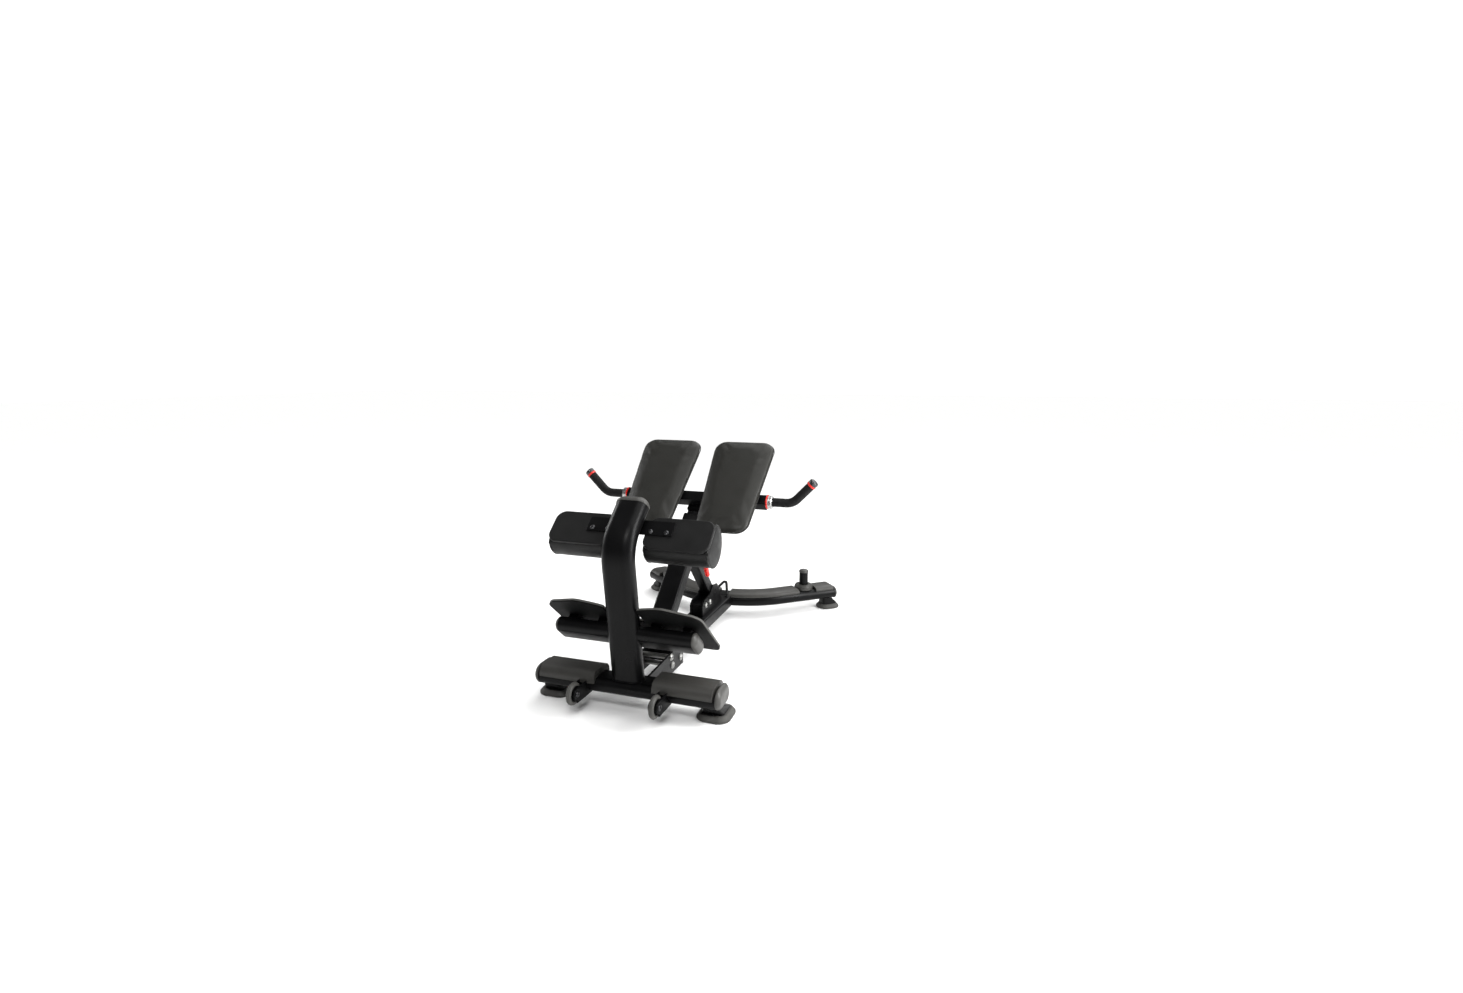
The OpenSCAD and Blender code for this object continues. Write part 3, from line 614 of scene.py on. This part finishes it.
def rear_end_caps():
    profile = [(0.2, -2.0), (0.8, -0.6), (2, 0), (6, 0), (9, -4), (12, -10), (14.5, -16.5)]
    profile += [(16.2, -24), (17, -34), (17, -44)]
    place = shift(0, REAR_Y, TUBE_Z + 8) @ ALONG_X @ shift(0, 0, REAR_HALF)
    piece("caps_rear", both(cap_shell(profile, 110, 68, place)), CAP, hides=["rear_end_caps"])


def foot_profile(w, l, r, place):
    """A moulded rubber foot: rounded bottom edge, a groove, sloping shoulders."""
    steps = [(0, -5), (1.2, -1.6), (2.6, 0), (6.4, 0), (7.0, -1.6), (7.8, -1.6), (8.4, -0.4)]
    steps += [(10, -3), (14, -11), (17.5, -17.2), (19.2, -20.5), (20, -24), (20, -34)]
    rings = [ring(round_rect(w + d, l + d, max(r + d / 2, 8), 10), place, z) for z, d in steps]
    return loft(rings)


def feet():
    rear = shift(289, REAR_Y + 36, 0)
    turn = Matrix.Rotation(radians(SWEEP), 4, "Z")
    front = shift(FRONT_FOOT_X, sweep_y(FRONT_FOOT_X), 0) @ turn
    bits = foot_profile(114, 122, 38, rear) + foot_profile(104, 88, 38, front)
    piece("feet_rubber", both(bits), RUBBER, hides=["rubber_feet"])
    stems = []
    for place, w, l, side, back in ((rear, 76, 80, 0, -36), (front, 72, 56, -11, 0)):
        rings = [ring(round_rect(w - 2, l - 2, 12), place, 20)]
        rings += [ring(round_rect(w, l, 12), place, z) for z in (21, 24)]
        top = place @ shift(side, back, 0)
        rings += [ring(round_rect(w - 26, 46, 9), top, z) for z in (47.7, 51.7)]
        stems += loft(rings)
    piece("feet_stems", both(stems), PAINT, hides=["foot_brackets"])


# ---- upright and wheels ----------------------------------------------------------
def upright_station(angle):
    """Frame of the bend at an angle from the floor: section in X and the tube's normal."""
    first = 90 + UPRIGHT_LEAN
    tangent = BEND_R * sin(radians((first - LEAN) / 2)) / cos(radians((first - LEAN) / 2))
    bend = Vector((0, *BEND))
    start = bend + tangent * Vector((0, -cos(radians(first)), -sin(radians(first))))
    centre = start - BEND_R * Vector((0, -sin(radians(first)), cos(radians(first))))
    normal = Vector((0, -sin(radians(angle)), cos(radians(angle))))
    along = Vector((0, cos(radians(angle)), sin(radians(angle))))
    p = centre + BEND_R * normal
    rows = [(1, 0, 0, 0), (0, normal.y, along.y, p.y), (0, normal.z, along.z, p.z), (0, 0, 0, 1)]
    return Matrix(rows), tangent


def upright():
    first = 90 + UPRIGHT_LEAN
    outline = oval(110, 64, 20)
    start, tangent = upright_station(first)
    along = Vector((0, cos(radians(first)), sin(radians(first))))
    cover_top = 102.2
    foot = [p + along * ((cover_top - p.z) / along.z) for p in ring(outline, start)]
    rings = [foot]
    steps = 14
    for k in range(steps + 1):
        rings.append(ring(outline, upright_station(first + (LEAN - first) * k / steps)[0]))
    rings.append(ring(outline, upright_station(LEAN)[0], UPPER_END - tangent))
    bits = loft(rings)
    bits += bead([p + Vector((0, 0, 1.2)) for p in foot], 5)
    piece("upright_tube", bits, PAINT, hides=["upright"])
    profile = [(0, -2.4), (1, -0.6), (2.2, 0), (8, 0), (11, -3.2), (15, -8.6), (19, -15), (22.5, -22)]
    profile += [(26, -31), (29, -41), (31, -52), (31.6, -62)]
    place = UPPER @ ALONG_Y @ shift(0, 0, UPPER_END)
    piece("upright_dome", cap_shell(profile, 114, 68, place, 20), CAP, hides=["upright_cap"])


def wheels():
    hub = [(6.05, -10), (11, -10), (12, -9.4), (12.4, -4), (23.6, -4), (24.2, -6.6), (25, -7), (26, -7)]
    hub += [(26, 7), (25, 7), (24.2, 6.6), (23.6, 4), (12.4, 4), (12, 9.4), (11, 10), (6.05, 10)]
    tyre = [(26.05, 8.0), (26.05, -8.0)]
    for a in range(-72, 73, 6):
        groove = 0.7 if abs(a) in (18, 24) else 0.0
        r = 9 - groove
        tyre.append((28.5 + r * cos(radians(a)), r * sin(radians(a))))
    for side, word in ((-1, "left"), (1, "right")):
        place = shift(side * WHEEL[0], *WHEEL[1:]) @ ALONG_X
        bits = lathe(hub, place, 56, loop=True)
        for k in range(6):
            spoke = place @ Matrix.Rotation(radians(60 * k), 4, "Z") @ shift(18, 0, 0)
            bits += bar(round_rect(13, 3, 1), spoke, -6.2, 6.2)
        body = "wheel_" + word
        piece("wheel_hub_" + word, bits, BLACK, body, ["hub_" + word], crease=30)
        piece("wheel_tyre_" + word, lathe(tyre, place, 64, loop=True), TYRE, body, ["tyre_" + word])


def wheel_axles():
    half = 18 / 2 + 1.5 + 5
    place = shift(*WHEEL) @ ALONG_X
    bits = lathe([(6, -half), (6, half)], place, 32)
    head = [(10, 0), (10, 1.2), (9.4, 2.6), (6.6, 4), (3.6, 4), (3.2, 1.6), (0, 1.6)]
    for flip in (1, -1):
        end = place @ Matrix.Scale(flip, 4, (0, 0, 1)) @ shift(0, 0, half)
        bits += lathe(head, end, 32)
    piece("axle_bolts", both(bits), DARK_ZINC, hides=["wheel_axles"])


# ---- foot plate and foot bar ----------------------------------------------------
def plate_half_outline():
    """Right half of the foot plate, from the notch round to the lower middle."""
    points = [(58, 74), (58, -8), (75, -17), (105, -27), (135, -34.5), (150, -36)]
    for a in range(84, 10, -12):
        points.append((150 + 60 * cos(radians(a)), 24 - 60 * sin(radians(a))))
    points = [p for p in points if p[0] < 168]
    for a in range(72, -1, -9):
        points.append((222 + 48 * cos(radians(a)), 36 - 48 * sin(radians(a))))
    points.append((270, 236))
    for a in range(0, 91, 15):
        points.append((246 + 24 * cos(radians(a)), 236 + 24 * sin(radians(a))))
    return points


def plate_outline():
    right = plate_half_outline()
    return right + [(-x, y) for x, y in reversed(right)]


def plate_width(s):
    """Widest x of the plate at s."""
    if s < 36:
        return 222 + max(0.0, 48 ** 2 - (36 - s) ** 2) ** 0.5
    if s > 236:
        return 246 + max(0.0, 24 ** 2 - (s - 236) ** 2) ** 0.5
    return 270


def foot_plate():
    steel = bar(plate_outline(), PLATE, -13, -9)
    piece("plate_steel", steel, MATTE, hides=["foot_plate"], bevel=0.8)
    bits = bar(plate_outline(), PLATE, -9, -1.6)
    piece("plate_rubber", bits, TREAD, hides=["foot_tread"], bevel=1.6)
    piece("plate_ribs", tread_ribs(), TREAD, crease=50)


def tread_ribs():
    """Ribs across the tread, in two runs where the notch parts the plate."""
    margin = 9
    notch_edge = 66
    notch_top = 80
    height = 1.75
    section = [(-2.4, 0), (-1.7, 1.4), (-0.9, height), (0.9, height), (1.7, 1.4), (2.4, 0)]
    tip = [(x * 0.9, y * 0.2) for x, y in section]
    ribs = []
    for k in range(31):
        s = -4 + 8.4 * k
        end = plate_width(s) - margin
        runs = [(-end, -notch_edge), (notch_edge, end)] if s < notch_top else [(-end, end)]
        place = PLATE @ shift(0, s, -height) @ ALONG_X
        for lo, hi in runs:
            rings = [ring(tip, place, lo), ring(section, place, lo + 1.2)]
            rings += [ring(section, place, hi - 1.2), ring(tip, place, hi)]
            ribs += loft(rings)
    return ribs


def foot_bar():
    place = PLATE @ shift(0, 104, -52) @ ALONG_X
    bits = bar(oval(100, 50, 18), place, 49, 236)
    for x in (80, 190):
        block = PLATE @ shift(x + 15, 104, 0)
        bits += bar(round_rect(30, 48, 3), block, -27, -13.05)
    piece("bar_foot", both(bits), PAINT, hides=["foot_bar"])
    profile = [(0, -0.8), (0.8, 0), (4, 0), (6.5, -3.4), (9.5, -9.5), (12.5, -18), (14.8, -28)]
    profile += [(16, -38), (16, -44)]
    caps = place @ shift(0, 0, 236)
    piece("bar_caps", both(cap_shell(profile, 100, 50, caps)), CAP, hides=["foot_bar_caps"])


# ---- soft pads -----------------------------------------------------------------
PRESSURE = 4.0
VOXEL = 0.005
CLOTH_FRAMES = 20
PAD_PROUD = 7


def inflate(obj, cap, hold, relax):
    """Swell a cushion with a short cloth run, no point moving more than the cap in metres."""
    bpy.context.view_layer.objects.active = obj
    obj.select_set(True)
    mod = obj.modifiers.new("remesh", "REMESH")
    mod.mode = "VOXEL"
    mod.voxel_size = VOXEL
    bpy.ops.object.modifier_apply(modifier="remesh")
    before = [v.co.copy() for v in obj.data.vertices]
    held = obj.vertex_groups.new(name="held")
    for v in obj.data.vertices:
        if hold(v.co):
            held.add([v.index], 1.0, "REPLACE")
    cloth = obj.modifiers.new("cloth", "CLOTH")
    settings = cloth.settings
    settings.use_pressure = True
    settings.uniform_pressure_force = PRESSURE
    settings.effector_weights.gravity = 0
    settings.vertex_group_mass = "held"
    settings.quality = 6
    settings.tension_stiffness = 40
    settings.compression_stiffness = 40
    settings.shear_stiffness = 20
    settings.bending_stiffness = 3
    for k in range(CLOTH_FRAMES):
        scene.frame_set(k + 1)
    bpy.ops.object.modifier_apply(modifier="cloth")
    for v, start in zip(obj.data.vertices, before):
        move = v.co - start
        if move.length > cap:
            v.co = start + move * (cap / move.length)
    scene.frame_set(1)
    smooth = obj.modifiers.new("smooth", "SMOOTH")
    smooth.factor = 0.5
    smooth.iterations = relax
    bpy.ops.object.modifier_apply(modifier="smooth")
    finer = obj.modifiers.new("finer", "SUBSURF")
    finer.levels = 1
    finer.render_levels = 1
    obj.data.polygons.foreach_set("use_smooth", [True] * len(obj.data.polygons))
    obj.select_set(False)


def thigh_outline(inset, proud=0, steps=10):
    """Outline of the right thigh pad about its middle; proud adds to each end's length."""
    in_x, out_x, half = 30 + inset, 284 - inset, 218 - inset + proud
    r = 50 - inset / 2
    corners = [(out_x - r, half - r), (in_x + r, half - r)]
    corners += [(in_x + 20 + r, r - half), (out_x - 22 - r, r - half)]
    points = []
    for q, (x, y) in enumerate(corners):
        for k in range(steps + 1):
            a = pi / 2 * (q + k / steps)
            points.append((x + r * cos(a), y + r * sin(a)))
    return points


def thigh_pad(side):
    word = "left" if side < 0 else "right"
    flip = MIRROR if side < 0 else WORLD
    place = flip @ POST @ shift(0, PAD_MID, 0)
    levels = [(89.9, 6), (91.4, 3.4), (96, 1.4), (102, 0.8), (107, 2.6), (111.2, 7), (114.6, 13.5)]
    levels += [(117.2, 22), (119.2, 34), (120.4, 54), (120.9, 98)]
    rings = [ring(thigh_outline(inset, PAD_PROUD), place, n) for n, inset in levels]
    obj = piece("cushion_" + word, loft(rings), VINYL, "carriage", crease=180)
    normal = (POST.to_3x3() @ Vector((0, 0, 1))).normalized()
    held_below = (POST @ Vector((0, 0, 105))).dot(normal) * MM
    inflate(obj, 0.0025, lambda co: co.dot(normal) < held_below, relax=16)
    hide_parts("thigh_pad_" + word)
    seam = ring(thigh_outline(1.9, PAD_PROUD), place, 95.5)
    piece("cushion_welt_" + word, rod_loop(seam, 3.6), PIPING, "carriage")


def pad_boards():
    place = POST @ shift(0, PAD_MID, 0)
    bits = both(bar(thigh_outline(9), place, 77.5, 89.6))
    piece("boards_thigh", bits, PLY, "carriage", ["pad_boards"], bevel=1.2)


def roll_outline(inset):
    """Side view of an ankle pad: round, with a flat back towards its board."""
    flat = 38.9
    steps = 40
    r = 70 - inset
    turns = [radians(155 + 230 * k / steps) for k in range(steps + 1)]
    points = [(r * cos(a), r * sin(a)) for a in turns]
    edge = 63 - inset * 0.6
    right = [(edge, flat - 14), (edge - 3, flat - 4), (edge - 10, flat), (0, flat)]
    left = [(-x, y) for x, y in reversed(right[:-1])]
    return points + right + left


def ankle_pad(side):
    word = "left" if side < 0 else "right"
    flip = MIRROR if side < 0 else WORLD
    place = flip @ ANKLE @ ALONG_X
    stations = [(57.4, 12), (58.4, 6), (61, 2.6), (66, 1.0), (110, 0.6), (230, 0.6), (273, 1.0)]
    stations += [(278, 2.6), (280.6, 6), (281.6, 12)]
    rings = [ring(roll_outline(inset), place, x) for x, inset in stations]
    obj = piece("roll_" + word, loft(rings), ROLL, crease=180)
    normal = (ANKLE.to_3x3() @ Vector((0, 0, 1))).normalized()
    held_above = (ANKLE @ Vector((0, 0, 36))).dot(normal) * MM
    inflate(obj, 0.005, lambda co: co.dot(normal) > held_above, relax=3)
    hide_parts("ankle_pad_" + word)
    welts = []
    for x in (62.5, 276.5):
        welts += rod_loop(ring(roll_outline(1.6), place, x), 3.4)
    piece("roll_welts_" + word, welts, PIPING)


def ankle_boards():
    place = ANKLE @ shift(169.5, 0, 0)
    bits = both(bar(round_rect(225, 122, 34, 10), place, 39.1, 51))
    piece("boards_ankle", bits, ROLL, hides=["ankle_boards"], bevel=4.0)


# ---- spine, post and strut ----------------------------------------------------------
def post_tubes():
    bits = bar(round_rect(78, 54, 7), POST @ ALONG_Y, 20, 536)
    piece("post_outer", bits, PAINT, hides=["seat_post"])
    profile = [(524, 8.4), (525, 10), (558, 10), (560.6, 8.6), (562, 4), (562, 0)]
    rings = [ring(round_rect(78 + d, 54 + d, 9), POST @ ALONG_Y, t) for t, d in profile]
    rings += [ring(round_rect(68.6, 44.6, 5), POST @ ALONG_Y, t) for t in (562, 530)]
    piece("post_guide", loft(rings), BLACK, hides=["post_collar"])
    bits = both(bar(round_rect(45, 45, 7), POST @ shift(0, *BEAM) @ ALONG_X, 0, BEAM_HALF))
    bits += bar(round_rect(68, 80, 4), POST @ shift(0, BEAM[0], 0), 22.1, 32.6)
    piece("beam_pads", bits, PAINT, "carriage", ["pad_beam"])


def spine():
    bits = bar(round_rect(100, 50, 7), shift(0, 0, 79) @ ALONG_Y, -288.4, 352)
    piece("spine_tube", bits, PAINT, hides=["spine"])


# ---- handles ------------------------------------------------------------------------
BEAM_POINT = POST @ Vector((0, *BEAM))
HANDLE = shift(0, BEAM_POINT.y, BEAM_POINT.z + 3) @ shift(BEAM_HALF, 0, 0)
HANDLE_STRAIGHT = 76
HANDLE_R = 60
HANDLE_BEND = 46


def handle_points(start, tip):
    """Centre line of the right handle, from start before the beam's end to tip past the bend."""
    points = [(start, 0), (30, 0), (60, 0), (HANDLE_STRAIGHT, 0)]
    steps = 12
    for k in range(1, steps + 1):
        a = radians(HANDLE_BEND * k / steps)
        points.append((HANDLE_STRAIGHT + HANDLE_R * sin(a), HANDLE_R * (1 - cos(a))))
    end_x, end_z = points[-1]
    turn = radians(HANDLE_BEND)
    points.append((end_x + tip * cos(turn), end_z + tip * sin(turn)))
    return [HANDLE @ Vector((x, 0, z)) for x, z in points]


def tip_frame():
    """Frame at the end of the bend, its Z along the handle's tip."""
    points = handle_points(-26, 84)
    return direction_frame(points[-2], points[-1] - points[-2])


def handles():
    tip = tip_frame()
    core = both(rod(handle_points(-20, 83), 28, 32))
    piece("handle_cores", core, PAINT, "carriage", ["handle_tubes"])
    grip = both(rod(handle_points(24, 71.5), 34, 36))
    piece("handle_foam", grip, FOAM, "carriage", ["handle_grips"])
    side = HANDLE @ ALONG_X
    profile = [(14.2, 6), (24, 6), (25, 7), (25, 10), (24.4, 10.6), (24.4, 11.6), (25, 12.2)]
    profile += [(25, 20.5), (22.5, 23), (14.2, 23)]
    collar = both(lathe(profile, side, loop=True))
    piece("handle_flanges", collar, ALUMINIUM, "carriage", ["handle_collars"])
    red = [(14.2, 0), (26, 0), (27, 1), (27, 5), (26, 6), (14.2, 6)]
    small = [(14.2, 72.2), (18, 72.2), (18.6, 73), (18.6, 79.2), (18, 80), (14.2, 80)]
    rings = lathe(red, side, loop=True) + lathe(small, tip, loop=True)
    piece("handle_bands", both(rings), RED, "carriage", ["handle_rings"])
    dome = [(17.4, 80.1), (18, 81), (18, 91), (17.2, 93.6), (14.6, 96), (10, 97), (0, 97)]
    piece("handle_ends", both(lathe(dome, tip)), DARK_ZINC, "carriage", ["handle_caps"])


# ---- height lock ---------------------------------------------------------------------
def lock_spring():
    """Coil spring round the pin."""
    place = POST @ shift(0, 484, -27) @ Matrix.Rotation(pi, 4, "X")
    steps = 90
    coils = 5
    pitch = 4.4
    r = 7.2
    turns = [2 * pi * coils * k / steps for k in range(steps + 1)]
    points = [place @ Vector((r * cos(a), r * sin(a), 8 + pitch * a / (2 * pi))) for a in turns]
    spring = piece("spring_lock", rod(points, 1.6, 10), ZINC, hides=["lock_spring"])
    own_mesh(spring)


def lever_grip():
    """Ribbed red grip on the lever's hanging arm."""
    arm = POST @ shift(42, 438, -76) @ Matrix.Rotation(radians(-15), 4, "X")
    place = arm @ shift(3, 0, -110)
    profile = [(0, 0), (7, 0), (9.4, 1.4), (10, 4)]
    for k in range(9):
        z = 7 + 5.4 * k
        profile += [(10, z), (9.0, z + 1.0), (9.0, z + 1.8), (10, z + 2.8)]
    profile += [(10, 57), (10, 60), (9, 62), (4, 62)]
    piece("grip_lever", lathe(profile, place, 36), RED, "lever", ["lever_grip"])


# ---- front base ------------------------------------------------------------------------
def front_station(angle, along=0.0):
    """Frame on the front crossbar's centre line; section across it and up."""
    a = radians(angle)
    centre = Vector((FRONT_R * sin(a), FRONT_Y + FRONT_R * (1 - cos(a)), TUBE_Z))
    step = Vector((cos(a), sin(a), 0))
    p = centre + step * along
    rows = [(-sin(a), 0, cos(a), p.x), (cos(a), 0, sin(a), p.y), (0, 1, 0, p.z), (0, 0, 0, 1)]
    return Matrix(rows)


def front_rings(outline, start, end):
    """Rings from a bend angle to a length along the right leg."""
    steps = 16
    angles = [start + (SWEEP - start) * k / steps for k in range(steps + 1)]
    rings = [ring(outline, front_station(a)) for a in angles]
    return rings + [ring(outline, front_station(SWEEP, end))]


def front_crossbar():
    right = front_rings(oval(100, 50, 20), 0, FRONT_LEG)
    piece("crossbar_front", both(loft(right, ends=False)), PAINT, hides=["front_crossbar"])


def front_cover_outline():
    top = [(46.6, 17), (48, 23), (47, 26.6), (44, 30)]
    top += [(39.5, 32.8), (34, 34.5), (27, 35.8), (20, 36.5)]
    inner = [radians(a) for a in range(90, 43, -8)]
    under_right = [(25 + 25.4 * cos(a), 25.4 * sin(a)) for a in inner]
    inner = [radians(a) for a in range(137, 89, -8)]
    under_left = [(-25 + 25.4 * cos(a), 25.4 * sin(a)) for a in inner]
    return top + [(-x, y) for x, y in reversed(top)] + under_left + under_right


def front_cover():
    """Shell over each front leg, open where the peg's flange stands."""
    start = 4.82
    length = FRONT_LEG - 10
    outline = front_cover_outline()
    peg_along = (PEG_X - FRONT_R * sin(radians(SWEEP))) / cos(radians(SWEEP))
    first = front_rings(outline, start, peg_along - PEG_FLANGE_R)
    ends = (peg_along + PEG_FLANGE_R, length)
    last = [ring(outline, front_station(SWEEP, d)) for d in ends]
    bits = loft(first) + loft(last)
    piece("cover_front", both(bits), MOULDED, hides=["front_cover"], bevel=1.4)


def front_end_caps():
    profile = [(0, -1.6), (0.8, -0.4), (1.8, 0), (5, 0), (7.4, -4.5), (10, -11.5), (12, -19)]
    profile += [(13, -27), (13, -36)]
    place = front_station(SWEEP, FRONT_LEG)
    piece("caps_front", both(cap_shell(profile, 103, 53, place)), CAP, hides=["front_end_caps"])


def band_pegs():
    place = shift(PEG_X, sweep_y(PEG_X), TUBE_Z + 25.1)
    piece("pegs_band", both(lathe([(20, 0.2), (20, 78)], place)), PAINT, hides=["band_pegs"])
    flange = [(20.2, 0), (41.4, 0), (42, 0.8), (42, 12.6), (41, 15.4), (38, 21), (36.4, 22.6)]
    flange += [(35, 23), (21.6, 23), (20.2, 21.6)]
    piece("pegs_flange", both(lathe(flange, place, loop=True)), MOULDED, hides=["peg_flanges"])
    dome = [(20.6, 78), (21.5, 79), (21.5, 84.4), (20.4, 87), (17.4, 89.6), (12, 91.4), (6, 92)]
    dome.append((0, 92))
    piece("pegs_cap", both(lathe(dome, place)), CAP, hides=["peg_caps"])


def lift_loop():
    """Bent round bar, with rounded shoulders."""
    foot_x, foot_y = 36, FRONT_Y - 62
    foot = Vector((foot_x, foot_y, 104.2))
    low = Vector((foot_x, foot_y, 111))
    high = Vector((7, FRONT_Y + 12, 146))
    points = [foot, low + Vector((-1.0, 3, 2))]
    points += [low.lerp(high, k / 8) for k in range(1, 8)]
    points.append(high + Vector((-1.6, 0.6, 0.3)))
    points.append(Vector((0, high.y + 1.2, high.z + 0.6)))
    other = [MIRROR @ p for p in reversed(points[:-1])]
    bits = rod(points + other, 12, 24)
    weld = [(11, 0.1), (11, 2.6), (8.4, 4.8), (6, 5)]
    bits += both(lathe(weld, shift(foot_x, foot_y, 104), 28))
    piece("loop_lift", bits, PAINT, hides=["lift_loop"])


# ---- fasteners ------------------------------------------------------------------------
def cross_bolts():
    """M12 bolts through the rear bracket and the strut's foot."""
    bits = []
    rear = [(-330.4, 63), (-341.4, 96), (-255.4, 63), (-255.4, 96)]
    spots = [(y, z, 58) for y, z in rear] + [(89.6, 143, 28), (137.6, 143, 28)]
    for y, z, half in spots:
        place = shift(0, y, z) @ ALONG_X
        bits += lathe([(6, -half - 2), (6, half)], place, 24)
        bits += button_bolt(place @ shift(0, 0, half), 12, 6.4)
        bits += hex_nut(place @ Matrix.Scale(-1, 4, (0, 0, 1)) @ shift(0, 0, half), 12, 9.4)
    piece("bolts_m12", bits, ZINC, hides=["frame_bolts_m12"])


def set_bolts():
    """M8 bolts of the foot plate and of the ankle pads' bracket."""
    bits = []
    for x in (95, 205):
        for s in (90, 118):
            bits += button_bolt(PLATE @ shift(x, s, 0), 8, 4)
    for x in (75, 130):
        bits += button_bolt(ANKLE @ shift(x, 0, 55), 8, 4)
    piece("bolts_m8", both(bits), DARK_ZINC, hides=["frame_bolts_m8"])
    under = []
    for x in (90, 210):
        place = POST @ shift(x, BEAM[0], 32.5) @ Matrix.Rotation(pi, 4, "X")
        under += button_bolt(place, 8, 4)
    piece("bolts_pads", both(under), ZINC, "carriage", ["pad_bolts"])


def plain_parts():
    """CAD pieces that keep their shape and get their material."""
    painted = ("wheel_forks", "ankle_bracket", "rear_bracket", "post_gussets")
    painted += ("strut_bracket", "seat_strut", "lock_lever")
    materials = ((painted, PAINT_EDGED), (("post_plug", "lock_housing"), BLACK))
    materials += ((("bracket_spacers", "lock_pin", "lever_pivot"), ZINC),)
    materials += ((("slide_post",), DARK_ZINC), (("slide_glide",), NYLON))
    for nodes, material in materials:
        for node in nodes:
            recolour(node, material)


add_camera()
add_lights()
add_world()
add_floor()
scene.view_settings.view_transform = "Standard"
rear_crossbar()
rear_covers()
rear_end_caps()
feet()
upright()
wheels()
wheel_axles()
foot_plate()
foot_bar()
thigh_pad(-1)
thigh_pad(1)
pad_boards()
ankle_pad(-1)
ankle_pad(1)
ankle_boards()
post_tubes()
spine()
handles()
lever_grip()
lock_spring()
front_crossbar()
front_cover()
front_end_caps()
band_pegs()
lift_loop()
cross_bolts()
set_bolts()
plain_parts()
